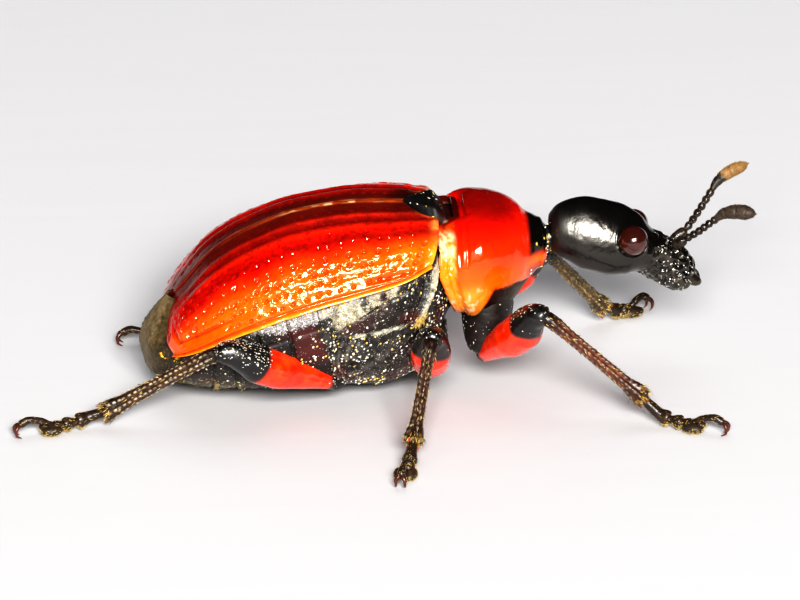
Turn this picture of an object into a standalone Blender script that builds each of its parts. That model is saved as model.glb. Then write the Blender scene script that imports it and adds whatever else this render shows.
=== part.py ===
"""A hazel leaf-roller weevil, life size, standing still on its six feet.

The head points along +X, the animal's left side is +Y, and +Z is up. The feet rest on the plane Z = 0.
"""

import math

import bmesh
import bpy
import numpy as np

# Lengths below are in millimetres, and MM turns them into Blender's metres.
MM = 0.001

# Free space between neighbouring pieces, and the size below which points are one point.
GAP = 0.03
WELD = 0.002

# The wing covers: knots from base to tip of the line along the back (x, z)
# and of the outer margin (x, half width, z).
BACK_LINE = (
    (0.87, 2.72), (0.42, 2.80), (-0.30, 2.82), (-1.08, 2.73), (-1.79, 2.475),
    (-2.32, 2.13), (-2.70, 1.71), (-2.96, 1.33), (-3.05, 1.05),
)
MARGIN_LINE = (
    (0.70, 1.23, 2.28), (0.28, 1.40, 2.12), (-0.35, 1.47, 1.96), (-1.05, 1.51, 1.78), (-1.70, 1.52, 1.57),
    (-2.20, 1.46, 1.36), (-2.58, 1.32, 1.15), (-2.83, 1.13, 1.00), (-2.97, 0.95, 0.92),
)
COVER_ROUNDNESS = 2.2
COVER_THICKNESS = 0.50
COVER_TIP_THICKNESS = 0.30
COVER_EDGE = 0.22
STRIAE = 9
STRIA_DEPTH = 0.035
STRIA_SHARE = 0.28
COVER_ROWS = 15
TIP_PARTING = 0.105
TIP_PARTING_WIDTH = 0.75
GROOVE_FADE = 12

# The scutellum fills a notch between the bases of the wing covers.
NOTCH_LENGTH = 0.107
NOTCH_WIDTH = 0.45
NOTCH_POWER = 1.25
SCUTELLUM_TOP = 2.80
SCUTELLUM_BOTTOM = 2.34

# The belly: the line of its keel (x, z) from the front to the rear, and how boxy its section is there.
KEEL_LINE = (
    (1.04, 1.20), (0.60, 0.38), (0.00, 0.22), (-0.75, 0.22), (-1.45, 0.23),
    (-2.05, 0.24), (-2.50, 0.27), (-2.80, 0.30), (-2.93, 0.33),
)
KEEL_ROUNDNESS = (2.0, 2.7, 3.1, 3.0, 2.9, 2.8, 2.7, 2.6, 2.5)
LEDGE = 0.10
LIP_DROP = 0.04
THORAX_END = 0.385
THORAX_RINGS = 8
ABDOMEN_START = 0.395
ABDOMEN_END = 0.93
VENTRITE_JOINTS = (0.50, 0.61, 0.71, 0.80)
VENTRITE_GROOVE = 0.03

# The front of the thorax, which the pronotum's base slips over: (half width, top, bottom),
# with the x of its two faces above, and how far forward they lean below.
PLUG = (0.80, 2.63, 1.30)
PLUG_REAR = 0.86
PLUG_FRONT = 1.05
PLUG_LEAN = (0.20, 0.12)
LEAN_TOP = 2.40
LEAN_HEIGHT = 1.10

# The pronotum from base to collar: (x, half width, top, bottom).
PRONOTUM = (
    (1.10, 1.01, 2.70, 1.20), (1.16, 1.03, 2.72, 1.15), (1.20, 1.01, 2.70, 1.14), (1.28, 1.05, 2.76, 1.11),
    (1.42, 1.04, 2.79, 1.10), (1.60, 0.98, 2.78, 1.12), (1.87, 0.86, 2.715, 1.22), (2.04, 0.70, 2.64, 1.40),
    (2.15, 0.55, 2.535, 1.555), (2.28, 0.42, 2.47, 1.68), (2.37, 0.36, 2.40, 1.76), (2.42, 0.31, 2.34, 1.80),
)
PRONOTUM_ROUNDNESS = 2.1

# Its rear edge reaches back at the sides: how far, from which |y| and z, over which widths.
FLANGE_REACH = 0.25
FLANGE_INNER = (0.42, 0.28)
FLANGE_LOWER = (1.35, 0.65)
FLANGE_LENGTH = 0.50
RIM_WIDTH = 0.15

# The neck joins the collar to the head.
NECK_RADIUS = 0.19
NECK_REAR = (2.36, 2.08)
NECK_FRONT = (2.62, 2.22)

# The head and then the rostrum: (x, z, pitch down in degrees, half width, half height).
HEAD = (
    (2.50, 2.24, 0, 0.24, 0.26), (2.60, 2.27, 2, 0.33, 0.36), (2.74, 2.28, 4, 0.39, 0.43),
    (3.03, 2.22, 9, 0.46, 0.52), (3.36, 2.13, 13, 0.49, 0.52), (3.66, 2.03, 18, 0.46, 0.435),
    (3.86, 1.90, 28, 0.39, 0.320),
)
ROSTRUM = (
    (3.886, 1.883, 30, 0.38, 0.315), (4.00, 1.81, 38, 0.33, 0.31), (4.145, 1.72, 43, 0.28, 0.33),
    (4.29, 1.60, 46, 0.30, 0.31), (4.41, 1.47, 46, 0.27, 0.25), (4.49, 1.39, 46, 0.21, 0.18),
)
MANDIBLE = ((4.42, 0.12, 1.50), (4.58, 0.13, 1.45), (4.67, 0.04, 1.39))
MANDIBLE_RADIUS = 0.085

# The head is turned a little, so the far eye sits lower and further forward.
EYE_CENTRES = {"right": (3.655, -0.405, 2.227), "left": (3.745, 0.405, 2.135)}
EYE_RADIUS = 0.215

# The antennae: the route of each from its root, and the radii of its beads.
ANTENNAE = {
    "right": ((4.27, -0.11, 1.98), (4.43, -0.18, 2.12), (4.61, -0.27, 2.276), (4.80, -0.36, 2.467),
              (4.97, -0.43, 2.615), (5.16, -0.50, 2.656), (5.385, -0.60, 2.66)),
    "left": ((4.27, 0.11, 1.98), (4.46, 0.17, 2.11), (4.64, 0.30, 2.29), (4.82, 0.43, 2.51),
             (4.98, 0.57, 2.69), (5.18, 0.68, 2.785), (5.44, 0.80, 2.84)),
}
SCAPE = (0.20, 0.068)
FUNICLE_BEADS = 6
FUNICLE = (0.088, 0.056)
CLUB_BEADS = (0.15, 0.14, 0.13, 0.12)
CLUB_RADII = (0.078, 0.102, 0.096, 0.060)
BEAD_WAIST = 0.62
ANTENNA_SIDES = 6

# The legs: coxa root, coxa tip, knee, ankle, claw tips on the floor.
LEGS = {
    "front_right": ((1.60, -0.41, 1.72), (1.50, -0.55, 0.60), (2.22, -1.70, 1.73), (3.66, -1.86, 0.425),
                    (4.71, -2.28)),
    "front_left": ((1.52, 0.41, 1.80), (1.38, 0.50, 0.97), (2.52, 0.80, 1.59), (3.46, 1.65, 0.28),
                   (4.13, 2.10)),
    "middle_right": ((0.72, -0.42, 1.10), (0.74, -0.56, 0.37), (0.66, -1.75, 1.46), (0.30, -2.83, 0.32),
                     (0.06, -3.63)),
    "middle_left": ((0.72, 0.42, 1.10), (0.74, 0.56, 0.37), (0.75, 1.80, 1.45), (0.50, 2.85, 0.30),
                    (0.25, 3.65)),
    "hind_right": ((-0.60, -0.40, 0.60), (-0.69, -1.08, 0.50), (-2.33, -1.62, 1.29), (-3.96, -1.28, 0.24),
                   (-5.13, -1.50)),
    "hind_left": ((-0.60, 0.40, 0.60), (-0.69, 1.08, 0.50), (-1.35, 2.10, 1.62), (-2.35, 1.35, 0.27),
                  (-3.49, 1.54)),
}
COXA_RADII = {
    "front": ((0.00, 0.36), (0.35, 0.37), (0.70, 0.31), (0.92, 0.22), (1.00, 0.11)),
    "middle": ((0.00, 0.27), (0.45, 0.28), (0.80, 0.23), (1.00, 0.12)),
    "hind": ((0.00, 0.22), (0.50, 0.24), (0.85, 0.20), (1.00, 0.11)),
}
# Along the thigh: share of its length, radius, swelling towards the shin.
FEMUR = (
    (0.00, 0.110, 0.00), (0.12, 0.160, 0.00), (0.30, 0.225, 0.02), (0.50, 0.285, 0.05),
    (0.66, 0.285, 0.05), (0.80, 0.240, 0.00), (0.92, 0.190, -0.02), (1.00, 0.155, -0.01),
)
# Along the shin: share of its length, radius.
TIBIA = ((0.00, 0.125), (0.10, 0.105), (0.45, 0.098), (0.80, 0.112), (0.95, 0.138), (1.00, 0.132))
KNEE_ROUNDING = 0.26
KNEE_PARTING = 0.10
THIGH_SIDES = 10
SHIN_SIDES = 8

# The foot, seen from its side: (share of its reach, height), with the radius at each point.
FOOT_SIDES = 6
FOOT = (
    (0.00, None, 0.085), (0.17, 0.240, 0.070), (0.31, 0.155, 0.105), (0.34, 0.145, 0.060),
    (0.48, 0.125, 0.100), (0.51, 0.120, 0.060), (0.60, 0.100, 0.090),
)
LOBE_SHARE = 0.66
LOBE_SIZE = (0.15, 0.085, 0.100)
LOBE_HEIGHT = 0.085
LOBE_SPREAD = 0.078
CLAW_JOINT = ((0.62, 0.12, 0.045), (0.78, 0.22, 0.050), (0.92, 0.255, 0.050), (1.03, 0.20, 0.060))
CLAW = ((1.00, 0.20, 0.030), (1.08, 0.155, 0.042), (1.09, 0.085, 0.034), (1.03, 0.02, 0.020))
CLAW_SPREAD = 0.065
CLAW_SIDES = 5

# The pygidium, from the floor side up: (z, rearmost x, half width).
PYGIDIUM = (
    (0.26, -3.25, 0.45), (0.57, -3.31, 0.70), (0.83, -3.37, 0.80), (0.99, -3.30, 0.78),
    (1.25, -3.14, 0.52), (1.48, -2.99, 0.22),
)

# Colours, roughness and metallic value of each kind of surface.
FINISHES = {
    "cover_red": ((0.62, 0.035, 0.010), 0.25, 0.0),
    "pronotum_red": ((0.75, 0.060, 0.010), 0.25, 0.0),
    "black_shell": ((0.012, 0.011, 0.011), 0.18, 0.0),
    "dark_body": ((0.040, 0.034, 0.028), 0.45, 0.0),
    "rump_olive": ((0.170, 0.110, 0.045), 0.55, 0.0),
    "eye_brown": ((0.060, 0.016, 0.010), 0.12, 0.0),
    "feeler_brown": ((0.070, 0.045, 0.028), 0.50, 0.0),
    "thigh_red": ((0.720, 0.060, 0.020), 0.25, 0.0),
    "shin_brown": ((0.100, 0.055, 0.030), 0.45, 0.0),
    "foot_brown": ((0.120, 0.070, 0.035), 0.50, 0.0),
}


# Curves and routes

def through(knots, table, at):
    """Rows read at the places `at` on a curve through the table's rows that doesn't overshoot them."""
    x = np.asarray(knots, float)
    y = np.asarray(table, float)
    at = np.atleast_1d(np.asarray(at, float))
    rise = np.diff(y, axis=0) / np.diff(x)[:, None]
    slope = np.zeros_like(y)
    slope[0] = rise[0]
    slope[-1] = rise[-1]
    product = rise[1:] * rise[:-1]
    total = np.where(product > 0, rise[1:] + rise[:-1], 1.0)
    slope[1:-1] = np.where(product > 0, 2 * product / total, 0.0)
    i = np.clip(np.searchsorted(x, at, side="right") - 1, 0, len(x) - 2)
    width = (x[i + 1] - x[i])[:, None]
    t = (at - x[i])[:, None] / width
    start = y[i] * (1 + 2 * t) * (1 - t) ** 2 + slope[i] * width * t * (1 - t) ** 2
    end = y[i + 1] * t * t * (3 - 2 * t) - slope[i + 1] * width * t * t * (1 - t)
    return start + end


LEVEL = np.array((0.0, 1.0, 0.0))


def unit(v):
    return v / np.linalg.norm(v, axis=-1, keepdims=True)


def chord_knots(points):
    """Places from 0 to 1 of the points, by the distance along them."""
    steps = np.linalg.norm(np.diff(np.asarray(points, float), axis=0), axis=1)
    return np.concatenate([[0.0], np.cumsum(steps)]) / steps.sum()


def rounded_route(corners, rounding, steps=8):
    """Points along straight runs whose inner corners are rounded off."""
    corners = [np.array(c, float) for c in corners]
    route = [corners[0]]
    for before, corner, after in zip(corners, corners[1:], corners[2:]):
        start = corner - unit(corner - before) * rounding
        end = corner + unit(after - corner) * rounding
        for t in np.linspace(0, 1, steps + 1):
            route.append(start * (1 - t) ** 2 + corner * 2 * t * (1 - t) + end * t * t)
    route.append(corners[-1])
    return np.array(route)


def smooth_route(points, steps=60):
    return through(chord_knots(points), points, np.linspace(0, 1, steps))


def walk(route, lengths):
    """Points and directions at these lengths along a route. Both ends run on straight."""
    steps = np.linalg.norm(np.diff(route, axis=0), axis=1)
    far = np.concatenate([[0.0], np.cumsum(steps)])

    def place(length):
        inside = np.stack([np.interp(length, far, route[:, k]) for k in range(3)], axis=-1)
        before = np.minimum(length, 0.0)[:, None] * unit(route[1] - route[0])
        after = np.maximum(length - far[-1], 0.0)[:, None] * unit(route[-1] - route[-2])
        return inside + before + after

    lengths = np.asarray(lengths, float)
    reach = 0.04
    return place(lengths), unit(place(lengths + reach) - place(lengths - reach))


def route_length(route):
    return float(np.linalg.norm(np.diff(route, axis=0), axis=1).sum())


def tube_rings(route, lengths, radii, side, count, swell=None, flat=1.0):
    """Rings across a route. `side` is kept level across it, and `swell` moves a ring square to both."""
    points, along = walk(route, lengths)
    across = unit(side - (along @ side)[:, None] * along)
    under = np.cross(along, across)
    if swell is not None:
        points = points + under * np.asarray(swell)[:, None]
    angle = np.arange(count) * 2 * math.pi / count
    radii = np.asarray(radii)[:, None, None]
    wide = across[:, None, :] * np.cos(angle)[None, :, None] * flat
    high = under[:, None, :] * np.sin(angle)[None, :, None]
    return points[:, None, :] + (wide + high) * radii


def power(value, roundness):
    return np.sign(value) * np.abs(value) ** (2 / roundness)


# Meshes

def add_rings(mesh, rings):
    """A closed skin over rings that run from one end to the other, with strips across both ends."""
    grid = [[mesh.verts.new(p) for p in ring] for ring in rings]
    count = len(grid[0])
    for lower, upper in zip(grid, grid[1:]):
        for i in range(count):
            j = (i + 1) % count
            mesh.faces.new((lower[i], lower[j], upper[j], upper[i]))
    for ring in (grid[0][::-1], grid[-1]):
        for i in range(count // 2):
            corners = (ring[i], ring[i + 1], ring[-i - 1], ring[-i])
            mesh.faces.new(tuple(dict.fromkeys(corners)))


def add_ball(mesh, centre, sizes, axes, segments, rings):
    """A closed ball of three half sizes along three axes."""
    made = bmesh.ops.create_uvsphere(mesh, u_segments=segments, v_segments=rings, radius=1.0)
    frame = np.array(axes, float).T * np.array(sizes, float)
    for vert in made["verts"]:
        vert.co = frame @ np.array(vert.co) + np.array(centre, float)


def tidy(mesh, weld=WELD):
    """Keeps the largest closed surface, with close points joined and all faces as triangles facing out."""
    bmesh.ops.remove_doubles(mesh, verts=mesh.verts[:], dist=weld * MM)
    bmesh.ops.dissolve_degenerate(mesh, dist=weld * MM, edges=mesh.edges[:])
    bmesh.ops.triangulate(mesh, faces=mesh.faces[:])
    left = set(mesh.faces)
    shells = []
    while left:
        face = left.pop()
        shell = [face]
        for face in shell:
            for edge in face.edges:
                for other in edge.link_faces:
                    if len(edge.link_faces) == 2 and other in left:
                        left.discard(other)
                        shell.append(other)
        shells.append(shell)
    shells.sort(key=lambda shell: sum(face.calc_area() for face in shell))
    scraps = [face for shell in shells[:-1] for face in shell]
    bmesh.ops.delete(mesh, geom=scraps, context="FACES")
    bmesh.ops.recalc_face_normals(mesh, faces=mesh.faces[:])


def new_object(name, fill, collection=None):
    """A mesh object from a function that fills a mesh in millimetres."""
    mesh = bmesh.new()
    fill(mesh)
    bmesh.ops.scale(mesh, vec=(MM, MM, MM), verts=mesh.verts[:])
    tidy(mesh)
    data = bpy.data.meshes.new(name)
    mesh.to_mesh(data)
    mesh.free()
    made = bpy.data.objects.new(name, data)
    (collection or bpy.context.scene.collection).objects.link(made)
    return made


def apply_boolean(target, others, operation):
    """Joins the other objects to the target, or cuts them from it, and removes them."""
    tools = bpy.data.collections.new("tools")
    bpy.context.scene.collection.children.link(tools)
    for other in others:
        bpy.context.scene.collection.objects.unlink(other)
        tools.objects.link(other)
    step = target.modifiers.new(operation.lower(), "BOOLEAN")
    step.operation = operation
    step.operand_type = "COLLECTION"
    step.collection = tools
    step.solver = "EXACT"
    bpy.context.view_layer.update()
    graph = bpy.context.evaluated_depsgraph_get()
    result = bpy.data.meshes.new_from_object(target.evaluated_get(graph))
    target.modifiers.clear()
    mesh = bmesh.new()
    mesh.from_mesh(result)
    tidy(mesh)
    mesh.to_mesh(target.data)
    mesh.free()
    bpy.data.meshes.remove(result)
    for other in others:
        bpy.data.objects.remove(other)
    bpy.data.collections.remove(tools)


def finish(made, kind):
    """Gives a piece its own material of this kind, and shades it smooth between its sharp edges."""
    colour, roughness, metallic = FINISHES[kind]
    material = bpy.data.materials.new(made.name)
    material.use_nodes = True
    shader = material.node_tree.nodes["Principled BSDF"]
    shader.inputs["Base Color"].default_value = (*colour, 1.0)
    shader.inputs["Roughness"].default_value = roughness
    shader.inputs["Metallic"].default_value = metallic
    made.data.materials.clear()
    made.data.materials.append(material)
    made.data.shade_smooth()
    made.data.set_sharp_from_angle(angle=math.radians(40))
    return made


# The trunk and the wing covers share these lines.

BACK_KNOTS = chord_knots(BACK_LINE)
SIDES = {"left": 1.0, "right": -1.0}


def shell_line(at, depth, edge_depth):
    """Back line and margin at these places, moved inwards by these depths."""
    at = np.atleast_1d(at)
    step = 0.002
    back = through(BACK_KNOTS, BACK_LINE, at)
    margin = through(BACK_KNOTS, MARGIN_LINE, at)
    along = unit(through(BACK_KNOTS, BACK_LINE, at + step) - through(BACK_KNOTS, BACK_LINE, at - step))
    outline = through(BACK_KNOTS, MARGIN_LINE, at + step) - through(BACK_KNOTS, MARGIN_LINE, at - step)
    outline = unit(outline[:, :2])
    inward = np.stack([-along[:, 1], along[:, 0]], axis=1)
    margin_inward = np.stack([-outline[:, 1], outline[:, 0]], axis=1)
    back = back + inward * np.asarray(depth).reshape(-1, 1)
    margin[:, :2] += margin_inward * np.asarray(edge_depth).reshape(-1, 1)
    return back, margin


def cover_depth(at):
    """Thickness of a wing cover at its suture, thinner towards the tip."""
    share = np.clip((np.asarray(at) - 0.55) / 0.45, 0.0, 1.0)
    return COVER_THICKNESS + (COVER_TIP_THICKNESS - COVER_THICKNESS) * share


def shell_point(angle, back, margin):
    """Points on the section between the back line, at angle 0, and the margin, at a quarter turn."""
    high = power(np.cos(angle), COVER_ROUNDNESS)
    wide = power(np.sin(angle), COVER_ROUNDNESS)
    x = margin[:, 0] + (back[:, 0] - margin[:, 0]) * high
    z = margin[:, 2] + (back[:, 1] - margin[:, 2]) * high
    return np.stack([x, margin[:, 1] * wide, z], axis=1)


def cover_columns():
    """Angles of the columns from suture to margin, with the depth of the groove at each."""
    pitch = 0.5 * math.pi / STRIAE
    columns = [(0.0, 0.0)]
    for k in range(1, STRIAE):
        columns.append(((k - STRIA_SHARE) * pitch, 0.0))
        columns.append((k * pitch, STRIA_DEPTH))
        columns.append(((k + STRIA_SHARE) * pitch, 0.0))
    columns.append((0.5 * math.pi, 0.0))
    return columns


def cover_span(angle):
    """Where a column starts, behind the scutellum's notch, and ends, at the rounded tip."""
    wide = math.sin(angle) ** (2 / COVER_ROUNDNESS)
    from_suture = wide * MARGIN_LINE[0][1] / NOTCH_WIDTH
    start = NOTCH_LENGTH * max(0.0, 1 - from_suture) ** NOTCH_POWER
    parting = max(0.0, 1 - wide / TIP_PARTING_WIDTH)
    return start, 1 - TIP_PARTING * parting ** 1.5


def wing_cover(side, grow=0.0):
    """One wing cover, its grooves running from base to tip. `grow` swells it, for cutting its room."""
    rows = np.linspace(0, 1, COVER_ROWS)

    def column(angle, groove, depth, edge_depth):
        start, end = cover_span(angle)
        at = start - grow / 5 + (end - start + grow / 2.5) * rows
        fade = np.clip(np.minimum(rows, 1 - rows) * GROOVE_FADE, 0.0, 1.0)
        thick = depth(at) if callable(depth) else np.full(len(at), depth)
        back, margin = shell_line(at, thick + groove * fade, edge_depth + groove * fade)
        points = shell_point(angle, back, margin)
        points[:, 1] = np.maximum(points[:, 1], GAP / 2 - grow)
        return points * (1.0, SIDES[side], 1.0)

    def fill(mesh):
        columns = cover_columns()
        picked = [0, *range(2, len(columns) - 1, 3), len(columns) - 1]
        outer = [column(angle, groove, -grow, -grow) for angle, groove in columns]
        inner = [
            column(columns[k][0], 0.0, lambda at: cover_depth(at) + grow, COVER_EDGE + grow)
            for k in picked
        ]
        outer = [[mesh.verts.new(p) for p in line] for line in outer]
        inner = [[mesh.verts.new(p) for p in line] for line in inner]
        for sheet in (outer, inner):
            for a, b in zip(sheet, sheet[1:]):
                for i in range(COVER_ROWS - 1):
                    mesh.faces.new((a[i], a[i + 1], b[i + 1], b[i]))
        for a, b in ((outer[0], inner[0]), (outer[-1], inner[-1])):
            for i in range(COVER_ROWS - 1):
                mesh.faces.new((a[i], a[i + 1], b[i + 1], b[i]))
        for end in (0, -1):
            for k, (first, last) in enumerate(zip(picked, picked[1:])):
                rim = [outer[n][end] for n in range(first, last + 1)]
                mesh.faces.new(rim + [inner[k + 1][end], inner[k][end]])

    return fill


def mirrored_ring(half):
    """A ring from its half at +Y, which runs from the top centre to the bottom centre."""
    return np.concatenate([half, half[-2:0:-1] * (1.0, -1.0, 1.0)])


BODY_UPPER = np.linspace(0, 0.5 * math.pi, 5)
BODY_LOWER = np.linspace(0, 0.5 * math.pi, 8)


def body_half(at, groove=0.0):
    """Half a ring of the trunk: under the wing covers, out along their margin, and round the belly."""
    depth = cover_depth(at) + GAP
    back, margin = shell_line(at, depth, COVER_EDGE + GAP)
    upper = shell_point(BODY_UPPER, back, margin)
    below_cover = np.array((0.0, 0.0, LIP_DROP))
    lip = upper[-1] - below_cover
    edge = shell_line(at, 0.0, LEDGE)[1][0] - below_cover
    keel = through(BACK_KNOTS, KEEL_LINE, at)[0]
    roundness = through(BACK_KNOTS, np.array(KEEL_ROUNDNESS)[:, None], at)[0, 0]
    fall = power(np.sin(BODY_LOWER), roundness)
    wide = power(np.cos(BODY_LOWER), roundness)
    inset = groove * np.clip(fall * 4, 0, 1)
    x = edge[0] + (keel[0] - edge[0]) * fall
    y = edge[1] * wide * (1 - inset / edge[1])
    z = edge[2] + (keel[1] - edge[2]) * fall + inset * fall
    lower = np.stack([x, y, z], axis=1)
    lower[-1, 1] = 0.0
    return np.concatenate([upper, [lip], lower])


def rear_edge(y, z):
    """X of the pronotum's rear edge: it reaches back beside the mesonotum, and not below."""
    wide = np.clip((np.abs(y) - FLANGE_INNER[0]) / FLANGE_INNER[1], 0, 1)
    high = np.clip((z - FLANGE_LOWER[0]) / FLANGE_LOWER[1], 0, 1)
    return PRONOTUM[0][0] - FLANGE_REACH * wide * wide * (3 - 2 * wide) * high


def lean(z):
    """How far from 0 to 1 a point at this height leans forward on the plug's faces."""
    return np.clip((LEAN_TOP - z) / LEAN_HEIGHT, 0, 1)


def oval_half(half_width, top, bottom, roundness, count):
    """Half a ring at x = 0, from the top centre over +Y to the bottom centre."""
    angle = np.linspace(0, math.pi, count)
    middle = 0.5 * (top + bottom)
    y = half_width * power(np.sin(angle), roundness)
    z = middle + 0.5 * (top - bottom) * power(np.cos(angle), roundness)
    y[[0, -1]] = 0.0
    return np.stack([np.zeros(count), y, z], axis=1)


def metathorax(mesh):
    """The underside of the thorax, its top below the wing covers, its front in the pronotum's base."""
    count = len(BODY_UPPER) + 1 + len(BODY_LOWER)
    front = oval_half(*PLUG, 2.0, count)
    rear = front.copy()
    low = lean(front[:, 2])
    front[:, 0] = PLUG_FRONT + PLUG_LEAN[1] * low
    before_rim = rear_edge(rear[:, 1] + RIM_WIDTH, rear[:, 2]) - GAP
    rear[:, 0] = np.minimum(PLUG_REAR + PLUG_LEAN[0] * low, before_rim)
    halves = [front, rear]
    halves += [body_half(at) for at in np.linspace(0.0, THORAX_END, THORAX_RINGS)]
    add_rings(mesh, [mirrored_ring(half) for half in halves])


def abdomen(mesh):
    """The abdomen, its belly parted by shallow grooves between its plates."""
    half_groove = 0.012
    stations = [(ABDOMEN_START, 0.0)]
    for joint in VENTRITE_JOINTS:
        stations += [(joint - half_groove, 0.0), (joint, VENTRITE_GROOVE), (joint + half_groove, 0.0)]
    stations += [(0.87, 0.0), (ABDOMEN_END, 0.0)]
    add_rings(mesh, [mirrored_ring(body_half(at, groove)) for at, groove in stations])


def scutellum(mesh):
    """The small shield between the bases of the wing covers."""
    bevel = 0.05
    levels = ((SCUTELLUM_BOTTOM, 0.0), (SCUTELLUM_TOP - bevel, 0.0), (SCUTELLUM_TOP, bevel))
    back_length = route_length(np.array(BACK_LINE))
    count = 7
    share = np.linspace(0, 1, count)
    rings = []
    for height, inset in levels:
        front = BACK_LINE[0][0] - inset
        reach = NOTCH_LENGTH * back_length - 2.5 * GAP - 1.5 * inset
        half_width = (NOTCH_WIDTH - 1.6 * GAP - inset) * (1 - share ** (1 / NOTCH_POWER))
        x = front - reach * share
        half = np.stack([x, half_width, np.full(count, height)], axis=1)
        half[-1, 1] = 0.0
        start = np.array([[front, 0.0, height]])
        rings.append(mirrored_ring(np.concatenate([start, half])))
    add_rings(mesh, rings)


def pygidium(mesh):
    """The last plate of the abdomen, bulging out between and below the tips of the wing covers."""
    end = body_half(ABDOMEN_END)
    table = np.array(PYGIDIUM)
    levels = np.linspace(table[0, 0], table[-1, 0], 8)
    count = 13
    angle = np.linspace(0.5 * math.pi, -0.5 * math.pi, count)
    rings = []
    for level, (rear, half_width) in zip(levels, through(table[:, 0], table[:, 1:], levels)):
        front = float(np.interp(level, end[::-1, 2], end[::-1, 0])) - 1.5 * GAP
        x = front - (front - rear) * np.cos(angle) ** 0.8
        rings.append(np.stack([x, half_width * np.sin(angle), np.full(count, level)], axis=1))
    add_rings(mesh, rings)


def pronotum(mesh):
    """The shield of the front thorax: a flange, a bell and a collar, hollowed at both ends."""
    count = 13
    base = oval_half(*PRONOTUM[0][1:], PRONOTUM_ROUNDNESS, count)
    socket = oval_half(PLUG[0] + GAP, PLUG[1] + GAP, PLUG[2] - GAP, 2.0, count)
    base[:, 0] = rear_edge(base[:, 1], base[:, 2])
    rim = socket.copy()
    rim[:, 0] = rear_edge(rim[:, 1] + RIM_WIDTH, rim[:, 2])
    floor = socket.copy()
    floor[:, 0] = np.maximum(PLUG_FRONT + PLUG_LEAN[1] * lean(socket[:, 2]), rim[:, 0]) + GAP
    halves = [floor, rim, base]
    for x, half_width, top, bottom in PRONOTUM[1:]:
        half = oval_half(half_width, top, bottom, PRONOTUM_ROUNDNESS, count)
        reach = PRONOTUM[0][0] - rear_edge(half[:, 1], half[:, 2])
        half[:, 0] = x - reach * max(0.0, 1 - (x - PRONOTUM[0][0]) / FLANGE_LENGTH)
        halves.append(half)
    for x in (PRONOTUM[-1][0], NECK_REAR[0] - GAP):
        half = oval_half(NECK_RADIUS + GAP, NECK_REAR[1] + NECK_RADIUS + GAP,
                         NECK_REAR[1] - NECK_RADIUS - GAP, 2.0, count)
        half[:, 0] = x
        halves.append(half)
    add_rings(mesh, [mirrored_ring(half) for half in halves])


def neck(mesh):
    rings = []
    for (x, z), radius in ((NECK_REAR, NECK_RADIUS), (NECK_FRONT, NECK_RADIUS)):
        half = oval_half(radius, z + radius, z - radius, 2.0, 9)
        half[:, 0] = x
        rings.append(mirrored_ring(half))
    add_rings(mesh, rings)


def pitched_half(x, z, pitch, half_width, half_height, count):
    """Half a ring square to an axis that points down by the pitch."""
    half = oval_half(half_width, half_height, -half_height, 2.1, count)
    tilt = math.radians(pitch)
    up = half[:, 2].copy()
    half[:, 0] = x + up * math.sin(tilt)
    half[:, 2] = z + up * math.cos(tilt)
    return half


def head_halves(table, steps, count=11):
    table = np.array(table, float)
    knots = chord_knots(table[:, :2])
    return [pitched_half(*row, count) for row in through(knots, table, np.linspace(0, 1, steps))]


def head(mesh):
    """The pear-shaped head, hollowed behind for the neck."""
    count = 11
    halves = []
    for x in (NECK_FRONT[0] + GAP, HEAD[0][0]):
        share = (x - NECK_REAR[0]) / (NECK_FRONT[0] - NECK_REAR[0])
        z = NECK_REAR[1] + (NECK_FRONT[1] - NECK_REAR[1]) * min(1.0, share)
        half = oval_half(NECK_RADIUS + GAP, z + NECK_RADIUS + GAP, z - NECK_RADIUS - GAP, 2.0, count)
        half[:, 0] = x
        halves.append(half)
    halves += head_halves(HEAD, 11, count)
    add_rings(mesh, [mirrored_ring(half) for half in halves])


def rostrum(mesh):
    """The short, bent snout."""
    add_rings(mesh, [mirrored_ring(half) for half in head_halves(ROSTRUM, 7)])


def mandible(side):
    def fill(mesh):
        route = smooth_route(np.array(MANDIBLE) * (1.0, SIDES[side], 1.0), 12)
        length = route_length(route)
        radii = MANDIBLE_RADIUS * np.array((1.0, 1.0, 0.8, 0.25))
        add_rings(mesh, tube_rings(route, np.linspace(0, length, 4), radii, LEVEL, 6))
    return fill


def eye(side, grow=0.0):
    def fill(mesh):
        axes = ((1, 0, 0), (0, 0, 1), (0, -1, 0))
        add_ball(mesh, EYE_CENTRES[side], [EYE_RADIUS + grow] * 3, axes, 14, 9)
    return fill


def antenna_profile():
    """Places along an antenna and its radius at each: scape, funicle beads and club."""
    places = [0.0, 0.03, SCAPE[0] * 0.75, SCAPE[0]]
    radii = [SCAPE[1] * 0.8, SCAPE[1], SCAPE[1] * 1.1, SCAPE[1] * BEAD_WAIST]
    beads = [FUNICLE] * FUNICLE_BEADS + list(zip(CLUB_BEADS, CLUB_RADII))
    for n, (length, radius) in enumerate(beads):
        start = places[-1]
        last = n == len(beads) - 1
        places += [start + length * 0.45, start + length * 0.8, start + length]
        radii += [radius * 0.92, radius, radius * (0.35 if last else BEAD_WAIST)]
    return np.array(places), np.array(radii)


def antenna(side, grow=0.0):
    def fill(mesh):
        route = smooth_route(np.array(ANTENNAE[side]))
        places, radii = antenna_profile()
        places = places * route_length(route) / places[-1]
        places[0] -= grow
        places[-1] += grow
        add_rings(mesh, tube_rings(route, places, radii + grow, LEVEL, ANTENNA_SIDES))
    return fill


def leg_route(leg):
    return rounded_route(LEGS[leg][1:4], KNEE_ROUNDING)


def leg_side(leg):
    """Square to the plane of the thigh and shin, so that the thigh swells towards the shin."""
    hip, knee, ankle = (np.array(p) for p in LEGS[leg][1:4])
    return unit(np.cross(ankle - knee, knee - hip))


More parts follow.
